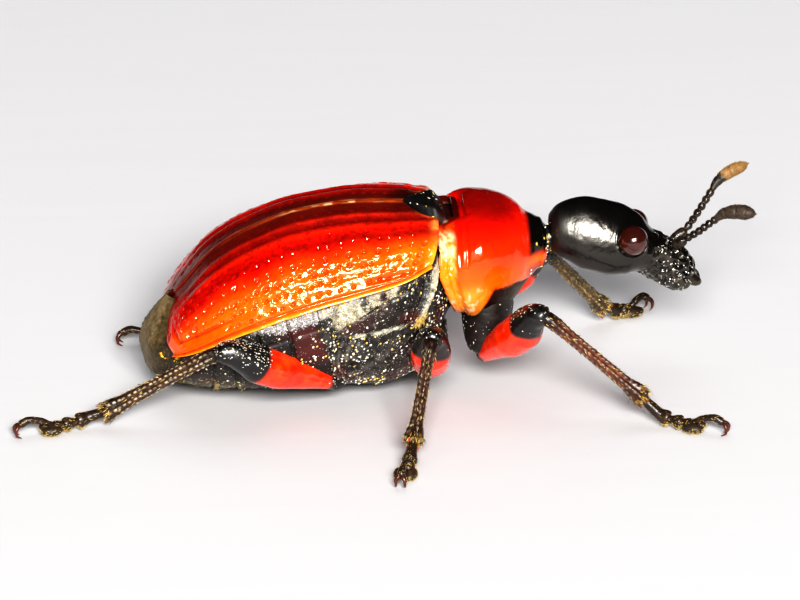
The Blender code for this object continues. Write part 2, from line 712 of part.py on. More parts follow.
def leg_lengths(leg):
    """Lengths along the leg's route of the cut behind the knee and of the ankle."""
    hip, knee = (np.array(p) for p in LEGS[leg][1:3])
    total = route_length(leg_route(leg))
    return float(np.linalg.norm(knee - hip)) + KNEE_PARTING - 0.5 * KNEE_ROUNDING, total


def coxa(leg, grow=0.0):
    def fill(mesh):
        root, tip = (np.array(p) for p in LEGS[leg][:2])
        table = np.array(COXA_RADII[leg.split("_")[0]])
        route = np.array([root, tip])
        length = route_length(route)
        share = np.array((0.0, 0.3, 0.55, 0.78, 0.92, 1.0))
        radii = through(table[:, 0], table[:, 1:], share)[:, 0] + grow
        places = share * length
        places[0] -= grow
        places[-1] += grow
        add_rings(mesh, tube_rings(route, places, radii, np.array((1.0, 0.0, 0.1)), THIGH_SIDES))
    return fill


def femur(leg, grow=0.0):
    def fill(mesh):
        end = leg_lengths(leg)[0]
        table = np.array(FEMUR)
        share = np.array((0.0, 0.08, 0.18, 0.32, 0.46, 0.60, 0.74, 0.88, 1.0))
        rows = through(table[:, 0], table[:, 1:], share)
        places = share * (end - GAP / 2)
        places[0] -= grow
        places[-1] += grow
        side = leg_side(leg)
        rings = tube_rings(leg_route(leg), places, rows[:, 0] + grow, side, THIGH_SIDES, rows[:, 1])
        add_rings(mesh, rings)
    return fill


def tibia(leg):
    def fill(mesh):
        start, end = leg_lengths(leg)
        share = np.array((0.0, 0.06, 0.14, 0.45, 0.75, 0.93, 1.0))
        table = np.array(TIBIA)
        radii = through(table[:, 0], table[:, 1:], share)[:, 0]
        places = start + GAP / 2 + share * (end - start - GAP)
        add_rings(mesh, tube_rings(leg_route(leg), places, radii, leg_side(leg), SHIN_SIDES))
    return fill


def foot_frame(leg):
    """The ankle, the level direction that the foot points in, and its reach."""
    ankle = np.array(LEGS[leg][3])
    claw = np.array(LEGS[leg][4])
    away = claw - ankle[:2]
    reach = float(np.linalg.norm(away))
    return ankle, np.array((*(away / reach), 0.0)), reach


def foot_point(leg, share, height):
    ankle, ahead, reach = foot_frame(leg)
    level = ankle[2] if height is None else height
    return np.array((ankle[0], ankle[1], 0.0)) + ahead * share * reach + np.array((0.0, 0.0, level))


def foot_tube(leg, table, shift, count):
    """A tube along the foot, moved to one side by the shift, which grows from its second point."""
    sideways = np.cross((0.0, 0.0, 1.0), foot_frame(leg)[1])

    def fill(mesh):
        points = np.array([foot_point(leg, share, height) for share, height, _ in table])
        apart = np.clip(np.arange(len(points)), 0, 2)[:, None] / 2
        points = points + sideways * shift * apart
        places = chord_knots(points) * route_length(points)
        radii = [radius for *_, radius in table]
        add_rings(mesh, tube_rings(points, places, radii, sideways, count))
    return fill


def foot_start(leg):
    """The foot's main tube, its first ring face to face with the end of the shin."""
    sideways = np.cross((0.0, 0.0, 1.0), foot_frame(leg)[1])

    def fill(mesh):
        points = np.array([foot_point(leg, share, height) for share, height, _ in FOOT])
        points[1, 2] = min(points[1, 2], 0.5 * (points[0, 2] + points[2, 2]) + 0.02)
        places = chord_knots(points) * route_length(points)
        radii = np.array([radius for *_, radius in FOOT])
        rings = tube_rings(points, places, radii, sideways, FOOT_SIDES)
        ankle = [leg_lengths(leg)[1] + GAP / 2]
        rings[0] = tube_rings(leg_route(leg), ankle, radii[:1], sideways, FOOT_SIDES)[0]
        add_rings(mesh, rings)
    return fill


def lobe(leg, shift):
    def fill(mesh):
        ahead = foot_frame(leg)[1]
        sideways = np.cross((0.0, 0.0, 1.0), ahead)
        centre = foot_point(leg, LOBE_SHARE, LOBE_HEIGHT) + sideways * shift
        add_ball(mesh, centre, LOBE_SIZE, (ahead, sideways, (0, 0, 1)), 8, 5)
    return fill


def floor_block(mesh):
    """A block below the floor, which cuts the flats of the feet."""
    bmesh.ops.create_cube(mesh, size=1.0)
    bmesh.ops.scale(mesh, vec=(14.0, 10.0, 1.0), verts=mesh.verts[:])
    bmesh.ops.translate(mesh, vec=(0.0, 0.0, -0.5), verts=mesh.verts[:])


def tarsus(leg):
    """The foot: two triangular joints, a joint with two lobes, and the claw joint with its two claws."""
    made = new_object(f"leg_{leg}_tarsus", foot_start(leg))
    extras = [new_object("lobe", lobe(leg, shift)) for shift in (LOBE_SPREAD, -LOBE_SPREAD)]
    extras.append(new_object("claw_joint", foot_tube(leg, CLAW_JOINT, 0.0, FOOT_SIDES)))
    for shift in (CLAW_SPREAD, -CLAW_SPREAD):
        extras.append(new_object("claw", foot_tube(leg, CLAW, shift, CLAW_SIDES)))
    apply_boolean(made, extras, "UNION")
    apply_boolean(made, [new_object("floor", floor_block)], "DIFFERENCE")
    return finish(made, "foot_brown")


def build():
    for old in list(bpy.data.objects):
        bpy.data.objects.remove(old)

    for side in SIDES:
        finish(new_object(f"elytron_{side}", wing_cover(side)), "cover_red")
    finish(new_object("scutellum", scutellum), "black_shell")

    chest = new_object("metathorax", metathorax)
    shield = new_object("pronotum", pronotum)
    belly = new_object("abdomen", abdomen)

    carriers = {"front": (shield,), "middle": (chest,), "hind": (chest, belly)}
    for leg in LEGS:
        hip = new_object(f"leg_{leg}_coxa", coxa(leg))
        apply_boolean(hip, [new_object("room", femur(leg, GAP))], "DIFFERENCE")
        finish(hip, "black_shell")
        finish(new_object(f"leg_{leg}_femur", femur(leg)), "thigh_red")
        finish(new_object(f"leg_{leg}_tibia", tibia(leg)), "shin_brown")
        tarsus(leg)
        for carrier in carriers[leg.split("_")[0]]:
            apply_boolean(carrier, [new_object("room", coxa(leg, GAP))], "DIFFERENCE")
            apply_boolean(carrier, [new_object("room", femur(leg, GAP))], "DIFFERENCE")
    finish(chest, "dark_body")
    finish(shield, "pronotum_red")
    finish(belly, "dark_body")

    rump = new_object("pygidium", pygidium)
    for side in SIDES:
        apply_boolean(rump, [new_object("room", wing_cover(side, GAP))], "DIFFERENCE")
    finish(rump, "rump_olive")

    finish(new_object("neck", neck), "black_shell")
    skull = new_object("head", head)
    snout = new_object("rostrum", rostrum)
    apply_boolean(snout, [new_object("mandible", mandible(side)) for side in SIDES], "UNION")
    for side in SIDES:
        apply_boolean(skull, [new_object("room", eye(side, GAP))], "DIFFERENCE")
        apply_boolean(snout, [new_object("room", antenna(side, GAP))], "DIFFERENCE")
        finish(new_object(f"eye_{side}", eye(side)), "eye_brown")
        finish(new_object(f"antenna_{side}", antenna(side)), "feeler_brown")
    finish(skull, "black_shell")
    finish(snout, "black_shell")


build()
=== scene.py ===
"""The looks of a hazel leaf-roller weevil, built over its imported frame.

The head points along +X, the animal's left side is +Y, and the feet rest on Z = 0.
Lengths are in millimetres.
"""

import math
from types import SimpleNamespace

import bpy
import numpy as np
from mathutils import Matrix, Vector


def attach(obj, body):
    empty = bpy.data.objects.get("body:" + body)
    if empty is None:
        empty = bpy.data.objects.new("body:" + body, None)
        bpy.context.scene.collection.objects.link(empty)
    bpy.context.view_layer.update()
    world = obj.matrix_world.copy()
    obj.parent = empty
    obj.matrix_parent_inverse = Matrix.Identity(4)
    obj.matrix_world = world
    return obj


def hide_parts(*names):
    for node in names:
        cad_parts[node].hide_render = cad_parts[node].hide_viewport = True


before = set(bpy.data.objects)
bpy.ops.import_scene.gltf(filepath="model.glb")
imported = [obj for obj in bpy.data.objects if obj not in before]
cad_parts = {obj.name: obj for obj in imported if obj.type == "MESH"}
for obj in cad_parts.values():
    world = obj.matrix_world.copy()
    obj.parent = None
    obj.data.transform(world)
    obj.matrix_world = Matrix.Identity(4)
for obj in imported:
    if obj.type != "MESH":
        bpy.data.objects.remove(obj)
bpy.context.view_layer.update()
MM = 0.001

# The camera looks at AIM from far away, and BACK points from there to it.
AIM = (0.358, 0.0, 1.25)
BACK = (-0.0796, -0.910, 0.4067)
CAMERA_FAR = 140.0
VIEW_WIDTH = 11.43

# The lines that the wing covers and the trunk share, as in the part's source.
BACK_LINE = (
    (0.87, 2.72), (0.42, 2.80), (-0.30, 2.82), (-1.08, 2.73), (-1.79, 2.475),
    (-2.32, 2.13), (-2.70, 1.71), (-2.96, 1.33), (-3.05, 1.05),
)
MARGIN_LINE = (
    (0.70, 1.23, 2.28), (0.28, 1.40, 2.12), (-0.35, 1.47, 1.96), (-1.05, 1.51, 1.78), (-1.70, 1.52, 1.57),
    (-2.20, 1.46, 1.36), (-2.58, 1.32, 1.15), (-2.83, 1.13, 1.00), (-2.97, 0.95, 0.92),
)
COVER_ROUNDNESS = 2.2
COVER_THICKNESS = 0.50
COVER_TIP_THICKNESS = 0.30
COVER_EDGE = 0.22
STRIAE = 9
TIP_PARTING = 0.105
TIP_PARTING_WIDTH = 0.75
NOTCH_LENGTH = 0.107
NOTCH_WIDTH = 0.45
NOTCH_POWER = 0.50
KEEL_LINE = (
    (1.04, 1.20), (0.60, 0.38), (0.00, 0.22), (-0.75, 0.22), (-1.45, 0.23),
    (-2.05, 0.24), (-2.50, 0.27), (-2.80, 0.30), (-2.93, 0.33),
)
KEEL_ROUNDNESS = (2.0, 2.7, 3.1, 3.0, 2.9, 2.8, 2.7, 2.6, 2.5)
LEDGE = 0.10
LIP_DROP = 0.04
THORAX_END = 0.385
ABDOMEN_START = 0.395
ABDOMEN_END = 0.93
VENTRITE_JOINTS = (0.50, 0.61, 0.71, 0.80)

# The front of the thorax, the pronotum, the neck, the head and the snout.
PLUG = (0.80, 2.63, 1.30)
PLUG_REAR = 0.86
PLUG_FRONT = 1.05
PRONOTUM = (
    (1.10, 1.01, 2.70, 1.20), (1.16, 1.03, 2.72, 1.15), (1.20, 1.01, 2.70, 1.14), (1.28, 1.05, 2.76, 1.11),
    (1.42, 1.04, 2.79, 1.10), (1.60, 0.98, 2.78, 1.12), (1.87, 0.86, 2.715, 1.22), (2.04, 0.70, 2.64, 1.40),
    (2.15, 0.55, 2.535, 1.555), (2.28, 0.42, 2.47, 1.68), (2.37, 0.36, 2.40, 1.76), (2.42, 0.31, 2.34, 1.80),
)
FLANGE_REACH = 0.25
FLANGE_INNER = (0.34, 0.20)
FLANGE_LOWER = (1.35, 0.65)
FLANGE_LENGTH = 0.50
HEAD = (
    (2.50, 2.24, 0, 0.24, 0.26), (2.60, 2.27, 2, 0.33, 0.36), (2.74, 2.28, 4, 0.39, 0.43),
    (3.03, 2.22, 9, 0.46, 0.52), (3.36, 2.13, 13, 0.49, 0.52), (3.66, 2.03, 18, 0.46, 0.435),
    (3.86, 1.90, 28, 0.39, 0.320),
)
HEAD_SAG = 0.12
HEAD_PEAR = 0.22
ROSTRUM = (
    (3.86, 1.90, 28, 0.38, 0.315), (4.00, 1.81, 38, 0.33, 0.31), (4.145, 1.72, 43, 0.28, 0.33),
    (4.29, 1.60, 46, 0.30, 0.31), (4.41, 1.47, 46, 0.27, 0.25), (4.49, 1.39, 46, 0.21, 0.18),
)
MANDIBLE = ((4.42, 0.12, 1.50), (4.58, 0.13, 1.45), (4.67, 0.04, 1.39))
MANDIBLE_RADIUS = 0.085
EYE_CENTRES = {"right": (3.655, -0.405, 2.227), "left": (3.745, 0.405, 2.135)}
EYE_RADIUS = 0.215
ANTENNAE = {
    "right": ((4.27, -0.11, 1.98), (4.43, -0.18, 2.12), (4.61, -0.27, 2.276), (4.80, -0.36, 2.467),
              (4.97, -0.43, 2.615), (5.16, -0.50, 2.656), (5.385, -0.60, 2.66)),
    "left": ((4.27, 0.11, 1.98), (4.46, 0.17, 2.11), (4.64, 0.30, 2.29), (4.82, 0.43, 2.51),
             (4.98, 0.57, 2.69), (5.18, 0.68, 2.785), (5.44, 0.80, 2.84)),
}
SCAPE = (0.20, 0.068)
FUNICLE_BEADS = 6
FUNICLE = (0.088, 0.056)
CLUB_BEADS = (0.15, 0.14, 0.13, 0.12)
CLUB_RADII = (0.078, 0.102, 0.096, 0.060)
CLUB_SHARES = (0.0, 0.10, 0.28, 0.50, 0.72, 0.90, 1.0)
CLUB_PROFILE = (0.045, 0.062, 0.084, 0.101, 0.105, 0.066, 0.008)

# The legs: coxa root, coxa tip, knee, ankle, claw tips on the floor.
LEGS = {
    "front_right": ((1.60, -0.41, 1.72), (1.50, -0.55, 0.60), (2.22, -1.70, 1.73), (3.66, -1.86, 0.425),
                    (4.71, -2.28)),
    "front_left": ((1.52, 0.41, 1.80), (1.38, 0.50, 0.97), (2.52, 0.80, 1.59), (3.46, 1.65, 0.28),
                   (4.13, 2.10)),
    "middle_right": ((0.72, -0.42, 1.10), (0.74, -0.56, 0.37), (0.66, -1.75, 1.46), (0.30, -2.83, 0.32),
                     (0.06, -3.63)),
    "middle_left": ((0.72, 0.42, 1.10), (0.74, 0.56, 0.37), (0.75, 1.80, 1.45), (0.50, 2.85, 0.30),
                    (0.25, 3.65)),
    "hind_right": ((-0.60, -0.40, 0.60), (-0.69, -1.08, 0.50), (-2.33, -1.62, 1.29), (-3.96, -1.28, 0.24),
                   (-5.13, -1.50)),
    "hind_left": ((-0.60, 0.40, 0.60), (-0.69, 1.08, 0.50), (-1.35, 2.10, 1.62), (-2.35, 1.35, 0.27),
                  (-3.49, 1.54)),
}
COXA_RADII = {
    "front": ((0.00, 0.36), (0.35, 0.37), (0.70, 0.31), (0.92, 0.22), (1.00, 0.11)),
    "middle": ((0.00, 0.27), (0.45, 0.28), (0.80, 0.23), (1.00, 0.12)),
    "hind": ((0.00, 0.22), (0.50, 0.24), (0.85, 0.20), (1.00, 0.11)),
}
FEMUR = (
    (0.00, 0.110, 0.00), (0.12, 0.160, 0.00), (0.30, 0.225, 0.02), (0.50, 0.285, 0.05),
    (0.66, 0.285, 0.05), (0.80, 0.240, 0.00), (0.92, 0.190, -0.02), (1.00, 0.155, -0.01),
)
TIBIA = ((0.00, 0.125), (0.10, 0.105), (0.45, 0.098), (0.80, 0.112), (0.95, 0.138), (1.00, 0.132))
KNEE_ROUNDING = 0.26
KNEE_PARTING = 0.10
CLAW_SPREAD = 0.065
LOBE_SPREAD = 0.078
PYGIDIUM = (
    (0.26, -3.25, 0.45), (0.57, -3.31, 0.70), (0.83, -3.37, 0.80), (0.99, -3.30, 0.78),
    (1.25, -3.14, 0.52), (1.48, -2.99, 0.22),
)
SIDES = {"left": 1.0, "right": -1.0}
LEVEL = np.array((0.0, 1.0, 0.0))


# Curves and routes

def through(knots, table, at):
    """Rows read at the places `at` on a curve through the table's rows that doesn't overshoot them."""
    x = np.asarray(knots, float)
    y = np.asarray(table, float)
    at = np.atleast_1d(np.asarray(at, float))
    rise = np.diff(y, axis=0) / np.diff(x)[:, None]
    slope = np.zeros_like(y)
    slope[0] = rise[0]
    slope[-1] = rise[-1]
    product = rise[1:] * rise[:-1]
    total = np.where(product > 0, rise[1:] + rise[:-1], 1.0)
    slope[1:-1] = np.where(product > 0, 2 * product / total, 0.0)
    i = np.clip(np.searchsorted(x, at, side="right") - 1, 0, len(x) - 2)
    width = (x[i + 1] - x[i])[:, None]
    t = (at - x[i])[:, None] / width
    start = y[i] * (1 + 2 * t) * (1 - t) ** 2 + slope[i] * width * t * (1 - t) ** 2
    end = y[i + 1] * t * t * (3 - 2 * t) - slope[i + 1] * width * t * t * (1 - t)
    return start + end


def unit(v):
    return v / (np.linalg.norm(v, axis=-1, keepdims=True) + 1e-12)


def step(low, high, value):
    """Rises smoothly from 0 at low to 1 at high."""
    t = np.clip((np.asarray(value, float) - low) / (high - low), 0, 1)
    return t * t * (3 - 2 * t)


def bump(centre, width, value):
    """A smooth hill of height 1 at the centre."""
    return np.exp(-((np.asarray(value, float) - centre) / width) ** 2)


def chord_knots(points):
    steps = np.linalg.norm(np.diff(np.asarray(points, float), axis=0), axis=1)
    return np.concatenate([[0.0], np.cumsum(steps)]) / steps.sum()


def rounded_route(corners, rounding, steps=16):
    corners = [np.array(c, float) for c in corners]
    route = [corners[0]]
    for before, corner, after in zip(corners, corners[1:], corners[2:]):
        start = corner - unit(corner - before) * rounding
        end = corner + unit(after - corner) * rounding
        for t in np.linspace(0, 1, steps + 1):
            route.append(start * (1 - t) ** 2 + corner * 2 * t * (1 - t) + end * t * t)
    route.append(corners[-1])
    return np.array(route)


def smooth_route(points, steps=60):
    return through(chord_knots(points), points, np.linspace(0, 1, steps))


def turns(count):
    """Angles evenly round a circle."""
    return np.arange(count) * 2 * math.pi / count


def route_length(route):
    return float(np.linalg.norm(np.diff(route, axis=0), axis=1).sum())


def walk(route, lengths):
    """Points and directions at these lengths along a route. Both ends run on straight."""
    steps = np.linalg.norm(np.diff(route, axis=0), axis=1)
    far = np.concatenate([[0.0], np.cumsum(steps)])

    def place(length):
        inside = np.stack([np.interp(length, far, route[:, k]) for k in range(3)], axis=-1)
        before = np.minimum(length, 0.0)[:, None] * unit(route[1] - route[0])
        after = np.maximum(length - far[-1], 0.0)[:, None] * unit(route[-1] - route[-2])
        return inside + before + after

    lengths = np.asarray(lengths, float)
    reach = 0.04
    return place(lengths), unit(place(lengths + reach) - place(lengths - reach))


def tube(route, lengths, radii, side, count, swell=None, **looks):
    """A closed tube along a route, with `side` level across it. `swell` moves a ring square to both."""
    points, along = walk(route, lengths)
    across = unit(side - (along @ side)[:, None] * along)
    under = np.cross(along, across)
    if swell is not None:
        points = points + under * np.asarray(swell)[:, None]
    angle = turns(count)
    radii = np.asarray(radii)[:, None, None]
    wide = across[:, None, :] * np.cos(angle)[None, :, None]
    high = under[:, None, :] * np.sin(angle)[None, :, None]
    return Skin(points[:, None, :] + (wide + high) * radii, wrap=True, capped=True, **looks)


def power(value, roundness):
    return np.sign(value) * np.abs(value) ** (2 / roundness)


def evened(line, count):
    """The same line with its points spread evenly along it."""
    knots = chord_knots(line)
    at = np.linspace(0, 1, count)
    return np.stack([np.interp(at, knots, line[:, k]) for k in range(3)], axis=1)


# Patterns over points in space

def scatter(x, y, z, seed):
    """A repeatable number from 0 to 1 for each place of a lattice."""
    mix = (x * 374761393 + y * 668265263 + z * 2147483629 + seed * 1274126177) & 0xFFFFFFFF
    mix = ((mix ^ (mix >> 13)) * 1274126177) & 0xFFFFFFFF
    mix = mix ^ (mix >> 16)
    return (mix & 0xFFFFFF) / 0xFFFFFF


def noise(points, size, seed=0):
    """Smooth noise from -1 to 1 in lumps of about this size."""
    p = np.asarray(points) / size + 500.0
    base = np.floor(p).astype(np.int64)
    part = p - base
    part = part * part * (3 - 2 * part)
    total = 0.0
    for corner in range(8):
        d = np.array((corner & 1, corner >> 1 & 1, corner >> 2 & 1))
        weight = np.prod(np.where(d, part, 1 - part), axis=-1)
        near = base + d
        total = total + weight * scatter(near[..., 0], near[..., 1], near[..., 2], seed)
    return total * 2 - 1


def rough_noise(points, size, seed=0):
    return (noise(points, size, seed) + 0.5 * noise(points, size * 0.5, seed + 1)
            + 0.25 * noise(points, size * 0.25, seed + 2)) / 1.75


def spots(points, size, seed=0):
    """Distance to the nearest of the scattered centres, one to each cube of this size, and its number."""
    p = np.asarray(points) / size + 500.0
    base = np.floor(p).astype(np.int64)
    nearest = np.full(p.shape[:-1], 9.0)
    own = np.zeros(p.shape[:-1])
    for n in range(27):
        near = base + np.array((n % 3 - 1, n // 3 % 3 - 1, n // 9 - 1))
        x, y, z = near[..., 0], near[..., 1], near[..., 2]
        centre = near + np.stack([scatter(x, y, z, seed + k) for k in (1, 2, 3)], axis=-1) * 0.7 + 0.15
        far = np.linalg.norm(p - centre, axis=-1)
        closer = far < nearest
        nearest = np.where(closer, far, nearest)
        own = np.where(closer, scatter(x, y, z, seed + 9), own)
    return nearest * size, own


def dimples(points, spacing, radius, seed, least=-1.0):
    """Round pits, deepest in their middles, at the scattered centres whose own number is above the least."""
    far, own = spots(points, spacing, seed)
    return np.clip(1 - (far / radius) ** 2, 0, 1) * (own > least)


def mixed(first, second, share):
    """Colours from the first to the second by the share."""
    share = np.clip(np.asarray(share, float), 0, 1)[..., None]
    return np.asarray(first, float) * (1 - share) + np.asarray(second, float) * share


# Skins: grids of points that carry colour and roughness

class Skin:
    def __init__(self, points, wrap=False, capped=False, colour=(0.02, 0.02, 0.02), shine=0.3):
        self.points = np.array(points, float)
        self.wrap = wrap
        self.capped = capped
        self.paint = np.zeros(self.points.shape) + np.asarray(colour)
        self.shine = np.full(self.points.shape[:2], float(shine))
        self.patch = (0.0, 0.0, 1.0, 1.0)
        self.outward = 1.0
        middle = self.points.mean(axis=(0, 1)) if not wrap else self.points.mean(axis=1, keepdims=True)
        if (self.normals() * (self.points - middle)).sum() < 0:
            self.outward = -1.0

    def normals(self):
        du = np.gradient(self.points, axis=0)
        if self.wrap:
            dv = np.roll(self.points, -1, 1) - np.roll(self.points, 1, 1)
        else:
            dv = np.gradient(self.points, axis=1)
        return unit(np.cross(du, dv)) * self.outward

    def lift(self, height):
        """Moves the skin out by the height at each point."""
        self.points = self.points + self.normals() * np.asarray(height)[..., None]

    def base(self, first, second, share):
        self.paint = mixed(np.zeros(self.points.shape) + first, second, share)

    def tint(self, colour, share):
        self.paint = mixed(self.paint, colour, share)

    def gloss(self, value, share=1.0):
        self.shine = self.shine + (value - self.shine) * np.clip(share, 0, 1)

    def by_row(self, values):
        """One value for each row, spread over the skin's points."""
        return np.asarray(values)[:, None] + np.zeros(self.points.shape[:2])

    def everywhere(self):
        return np.ones(self.points.shape[:2])

    def size(self):
        wide = self.points[:, [*range(self.points.shape[1]), 0]] if self.wrap else self.points
        rows = np.linalg.norm(np.diff(self.points, axis=0), axis=2).sum(axis=0).max()
        columns = np.linalg.norm(np.diff(wide, axis=1), axis=2).sum(axis=1).max()
        return float(columns) + 0.02, float(rows) + 0.02


def pack(skins):
    """Gives each skin its own patch of one square map, at one scale."""
    sizes = [skin.size() for skin in skins]
    margin = 0.03
    across = math.sqrt(sum((w + margin) * (h + margin) for w, h in sizes)) * 1.1
    across = max([across] + [w + margin for w, h in sizes])
    x = y = shelf = 0.0
    places = {}
    for k in sorted(range(len(skins)), key=lambda k: -sizes[k][1]):
        w, h = sizes[k]
        if x + w > across + 1e-9:
            x = 0.0
            y += shelf + margin
            shelf = 0.0
        places[k] = (x, y, w, h)
        x += w + margin
        shelf = max(shelf, h)
    whole = max(across, y + shelf)
    for k, (x, y, w, h) in places.items():
        skins[k].patch = (x / whole, y / whole, w / whole, h / whole)


def placed(name, data):
    """A new object of the scene from this data."""
    made = bpy.data.objects.new(name, data)
    bpy.context.scene.collection.objects.link(made)
    return made


def build_mesh(name, points, faces, maps, paint, shine):
    data = bpy.data.meshes.new(name)
    data.from_pydata((points * MM).tolist(), [], faces)
    layer = data.uv_layers.new(name="OFBake")
    layer.data.foreach_set("uv", np.asarray(maps, np.float32).ravel())
    colours = data.attributes.new("paint", "FLOAT_COLOR", "POINT")
    rgba = np.ones((len(points), 4), np.float32)
    rgba[:, :3] = np.clip(paint, 0, 1)
    colours.data.foreach_set("color", rgba.ravel())
    rough = data.attributes.new("shine", "FLOAT", "POINT")
    rough.data.foreach_set("value", np.clip(shine, 0.02, 1).astype(np.float32))
    data.shade_smooth()
    return placed(name, data)


def dress(made, material, nodes=()):
    """Gives the piece its material and its place in the frame, and hides the frame's parts for the nodes
    that it stands for.
    """
    made.data.materials.append(material)
    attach(made, "root")
    if nodes:
        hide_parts(*nodes)


def shell_faces(skin, start):
    """The four-sided faces of a skin whose points are numbered from `start`, and their places on the map."""
    rows, columns = skin.points.shape[:2]
    index = start + np.arange(rows * columns).reshape(rows, columns)
    last = columns if skin.wrap else columns - 1
    i, j = (part.ravel() for part in np.meshgrid(np.arange(rows - 1), np.arange(last), indexing="ij"))
    k = (j + 1) % columns
    quads = np.stack([index[i, j], index[i, k], index[i + 1, k], index[i + 1, j]], axis=1)
    x, y, w, h = skin.patch
    u = np.stack([j, j + 1, j + 1, j], axis=1) / last
    v = np.stack([i, i, i + 1, i + 1], axis=1) / (rows - 1)
    uv = np.stack([x + u * w, y + v * h], axis=2)
    turn = -1 if skin.outward > 0 else 1
    return quads[:, ::turn], uv[:, ::turn], index


def cap_faces(skin, ring, row, centre):
    """A fan of triangles from the ring at the end row to its centre, and their corners on the map."""
    rows, columns = skin.points.shape[:2]
    x, y, w, h = skin.patch
    j = np.arange(columns)
    fan = np.stack([ring[(j + 1) % columns], ring[j], np.full(columns, centre)], axis=1)
    edge = y + h * (row / (rows - 1))
    inner = edge + (0.002 if row == 0 else -0.002)
    uv = np.stack([np.stack([x + w * (j + on) / columns, np.full(columns, height)], axis=1)
                   for on, height in ((1, edge), (0, edge), (0.5, inner))], axis=1)
    turn = -1 if (1 if row == 0 else -1) * skin.outward > 0 else 1
    return fan[:, ::turn], uv[:, ::turn]


def make(name, skins, material, *nodes):
    """One piece from its skins, standing for these nodes."""
    pack(skins)
    points, paint, shine, faces, maps = [], [], [], [], []
    start = 0
    for skin in skins:
        quads, uv, index = shell_faces(skin, start)
        faces += quads.tolist()
        maps.append(uv.reshape(-1, 2))
        points.append(skin.points.reshape(-1, 3))
        paint.append(skin.paint.reshape(-1, 3))
        shine.append(skin.shine.ravel())
        start += index.size
        for row in (0, len(index) - 1) if skin.capped else ():
            points.append(skin.points[row].mean(axis=0)[None])
            paint.append(skin.paint[row].mean(axis=0)[None])
            shine.append(skin.shine[row].mean()[None])
            fan, uv = cap_faces(skin, index[row], row, start)
            start += 1
            faces += fan.tolist()
            maps.append(uv.reshape(-1, 2))
    made = build_mesh(name, np.concatenate(points), faces, np.concatenate(maps),
                      np.concatenate(paint), np.concatenate(shine))
    dress(made, material, nodes)


# Hairs and scales, each one a small solid

def roots(skin, count, chance, seed):
    """Random places on a skin, more of them where the chance is higher."""
    luck = np.random.default_rng(seed)
    p = skin.points
    if skin.wrap:
        p = np.concatenate([p, p[:, :1]], axis=1)
        chance = np.concatenate([chance, chance[:, :1]], axis=1)
    area = np.linalg.norm(np.cross(p[1:, :-1] - p[:-1, :-1], p[:-1, 1:] - p[:-1, :-1]), axis=2)
    weight = (area * 0.25 * (chance[1:, 1:] + chance[:-1, 1:] + chance[1:, :-1] + chance[:-1, :-1])).ravel()
    pick = luck.choice(len(weight), count, p=weight / weight.sum())
    i, j = np.unravel_index(pick, area.shape)
    a, b = luck.random((2, count, 1))
    corners = (p[i, j], p[i + 1, j], p[i, j + 1], p[i + 1, j + 1])
    point = (corners[0] * (1 - a) * (1 - b) + corners[1] * a * (1 - b)
             + corners[2] * (1 - a) * b + corners[3] * a * b)
    along = unit(corners[1] - corners[0])
    across = unit(corners[2] - corners[0])
    normal = unit(np.cross(along, across)) * skin.outward
    x, y, w, h = skin.patch
    u = x + w * (j + b[:, 0]) / area.shape[1]
    v = y + h * (i + a[:, 0]) / area.shape[0]
    return {"point": point, "normal": normal, "along": along, "map": np.stack([u, v], axis=1)}


# A hair's seven points are two rings of three and the tip: its faces, and where they lie on the map.
HAIR_SIDES = np.array(((0, 1, 4, 3), (1, 2, 5, 4), (2, 0, 3, 5)))
HAIR_ENDS = np.array(((3, 4, 6), (4, 5, 6), (5, 3, 6), (2, 1, 0)))
HAIR_MAP = np.array(((0, 0), (0.5, 0.1), (1, 0), (0, 0.5), (0.5, 0.6), (1, 0.5), (0.5, 1.0))) - 0.5
HAIR_MAP_SIZE = 0.003
HAIR_ROOT = 0.012
HAIR_SHINE = 0.4


def coat(name, place, lay, lengths, widths, rise, colours, flat, belly):
    """Solid hairs: `lay` is the way each lies, `rise` how far it stands off, `belly` its middle's width."""
    count = len(place["point"])
    normal = place["normal"]
    lay = unit(lay - (lay * normal).sum(axis=1, keepdims=True) * normal)
    side = np.cross(normal, lay)
    lengths, widths, rise = lengths[:, None], widths[:, None] * 0.5, rise[:, None]
    ahead = unit(lay + normal * rise)
    curl = unit(lay + normal * rise * 0.3)
    base = place["point"] - normal * np.minimum(HAIR_ROOT, 0.15 * lengths)
    middle = base + ahead * lengths * 0.55
    tip = middle + curl * lengths * 0.45
    up = np.cross(ahead, side) * -1.0
    rings = []
    for centre, wide in ((base, widths * 0.7), (middle, widths * belly)):
        rings.append(centre + side * wide - up * wide * flat * 0.5)
        rings.append(centre + up * wide * flat)
        rings.append(centre - side * wide - up * wide * flat * 0.5)
    verts = np.stack(rings + [tip], axis=1).reshape(-1, 3)
    first = (np.arange(count) * 7)[:, None, None]
    on_map = np.clip(place["map"][:, None, :] + HAIR_MAP[None] * HAIR_MAP_SIZE, 0, 1).reshape(-1, 2)
    quads = (first + HAIR_SIDES[None]).reshape(-1, 4)
    triangles = (first + HAIR_ENDS[None]).reshape(-1, 3)
    maps = np.concatenate([on_map[quads.ravel()], on_map[triangles.ravel()]])
    made = build_mesh(name, verts, quads.tolist() + triangles.tolist(), maps,
                      np.repeat(colours, 7, axis=0), np.full(count * 7, HAIR_SHINE))
    dress(made, hair_material)


# Materials

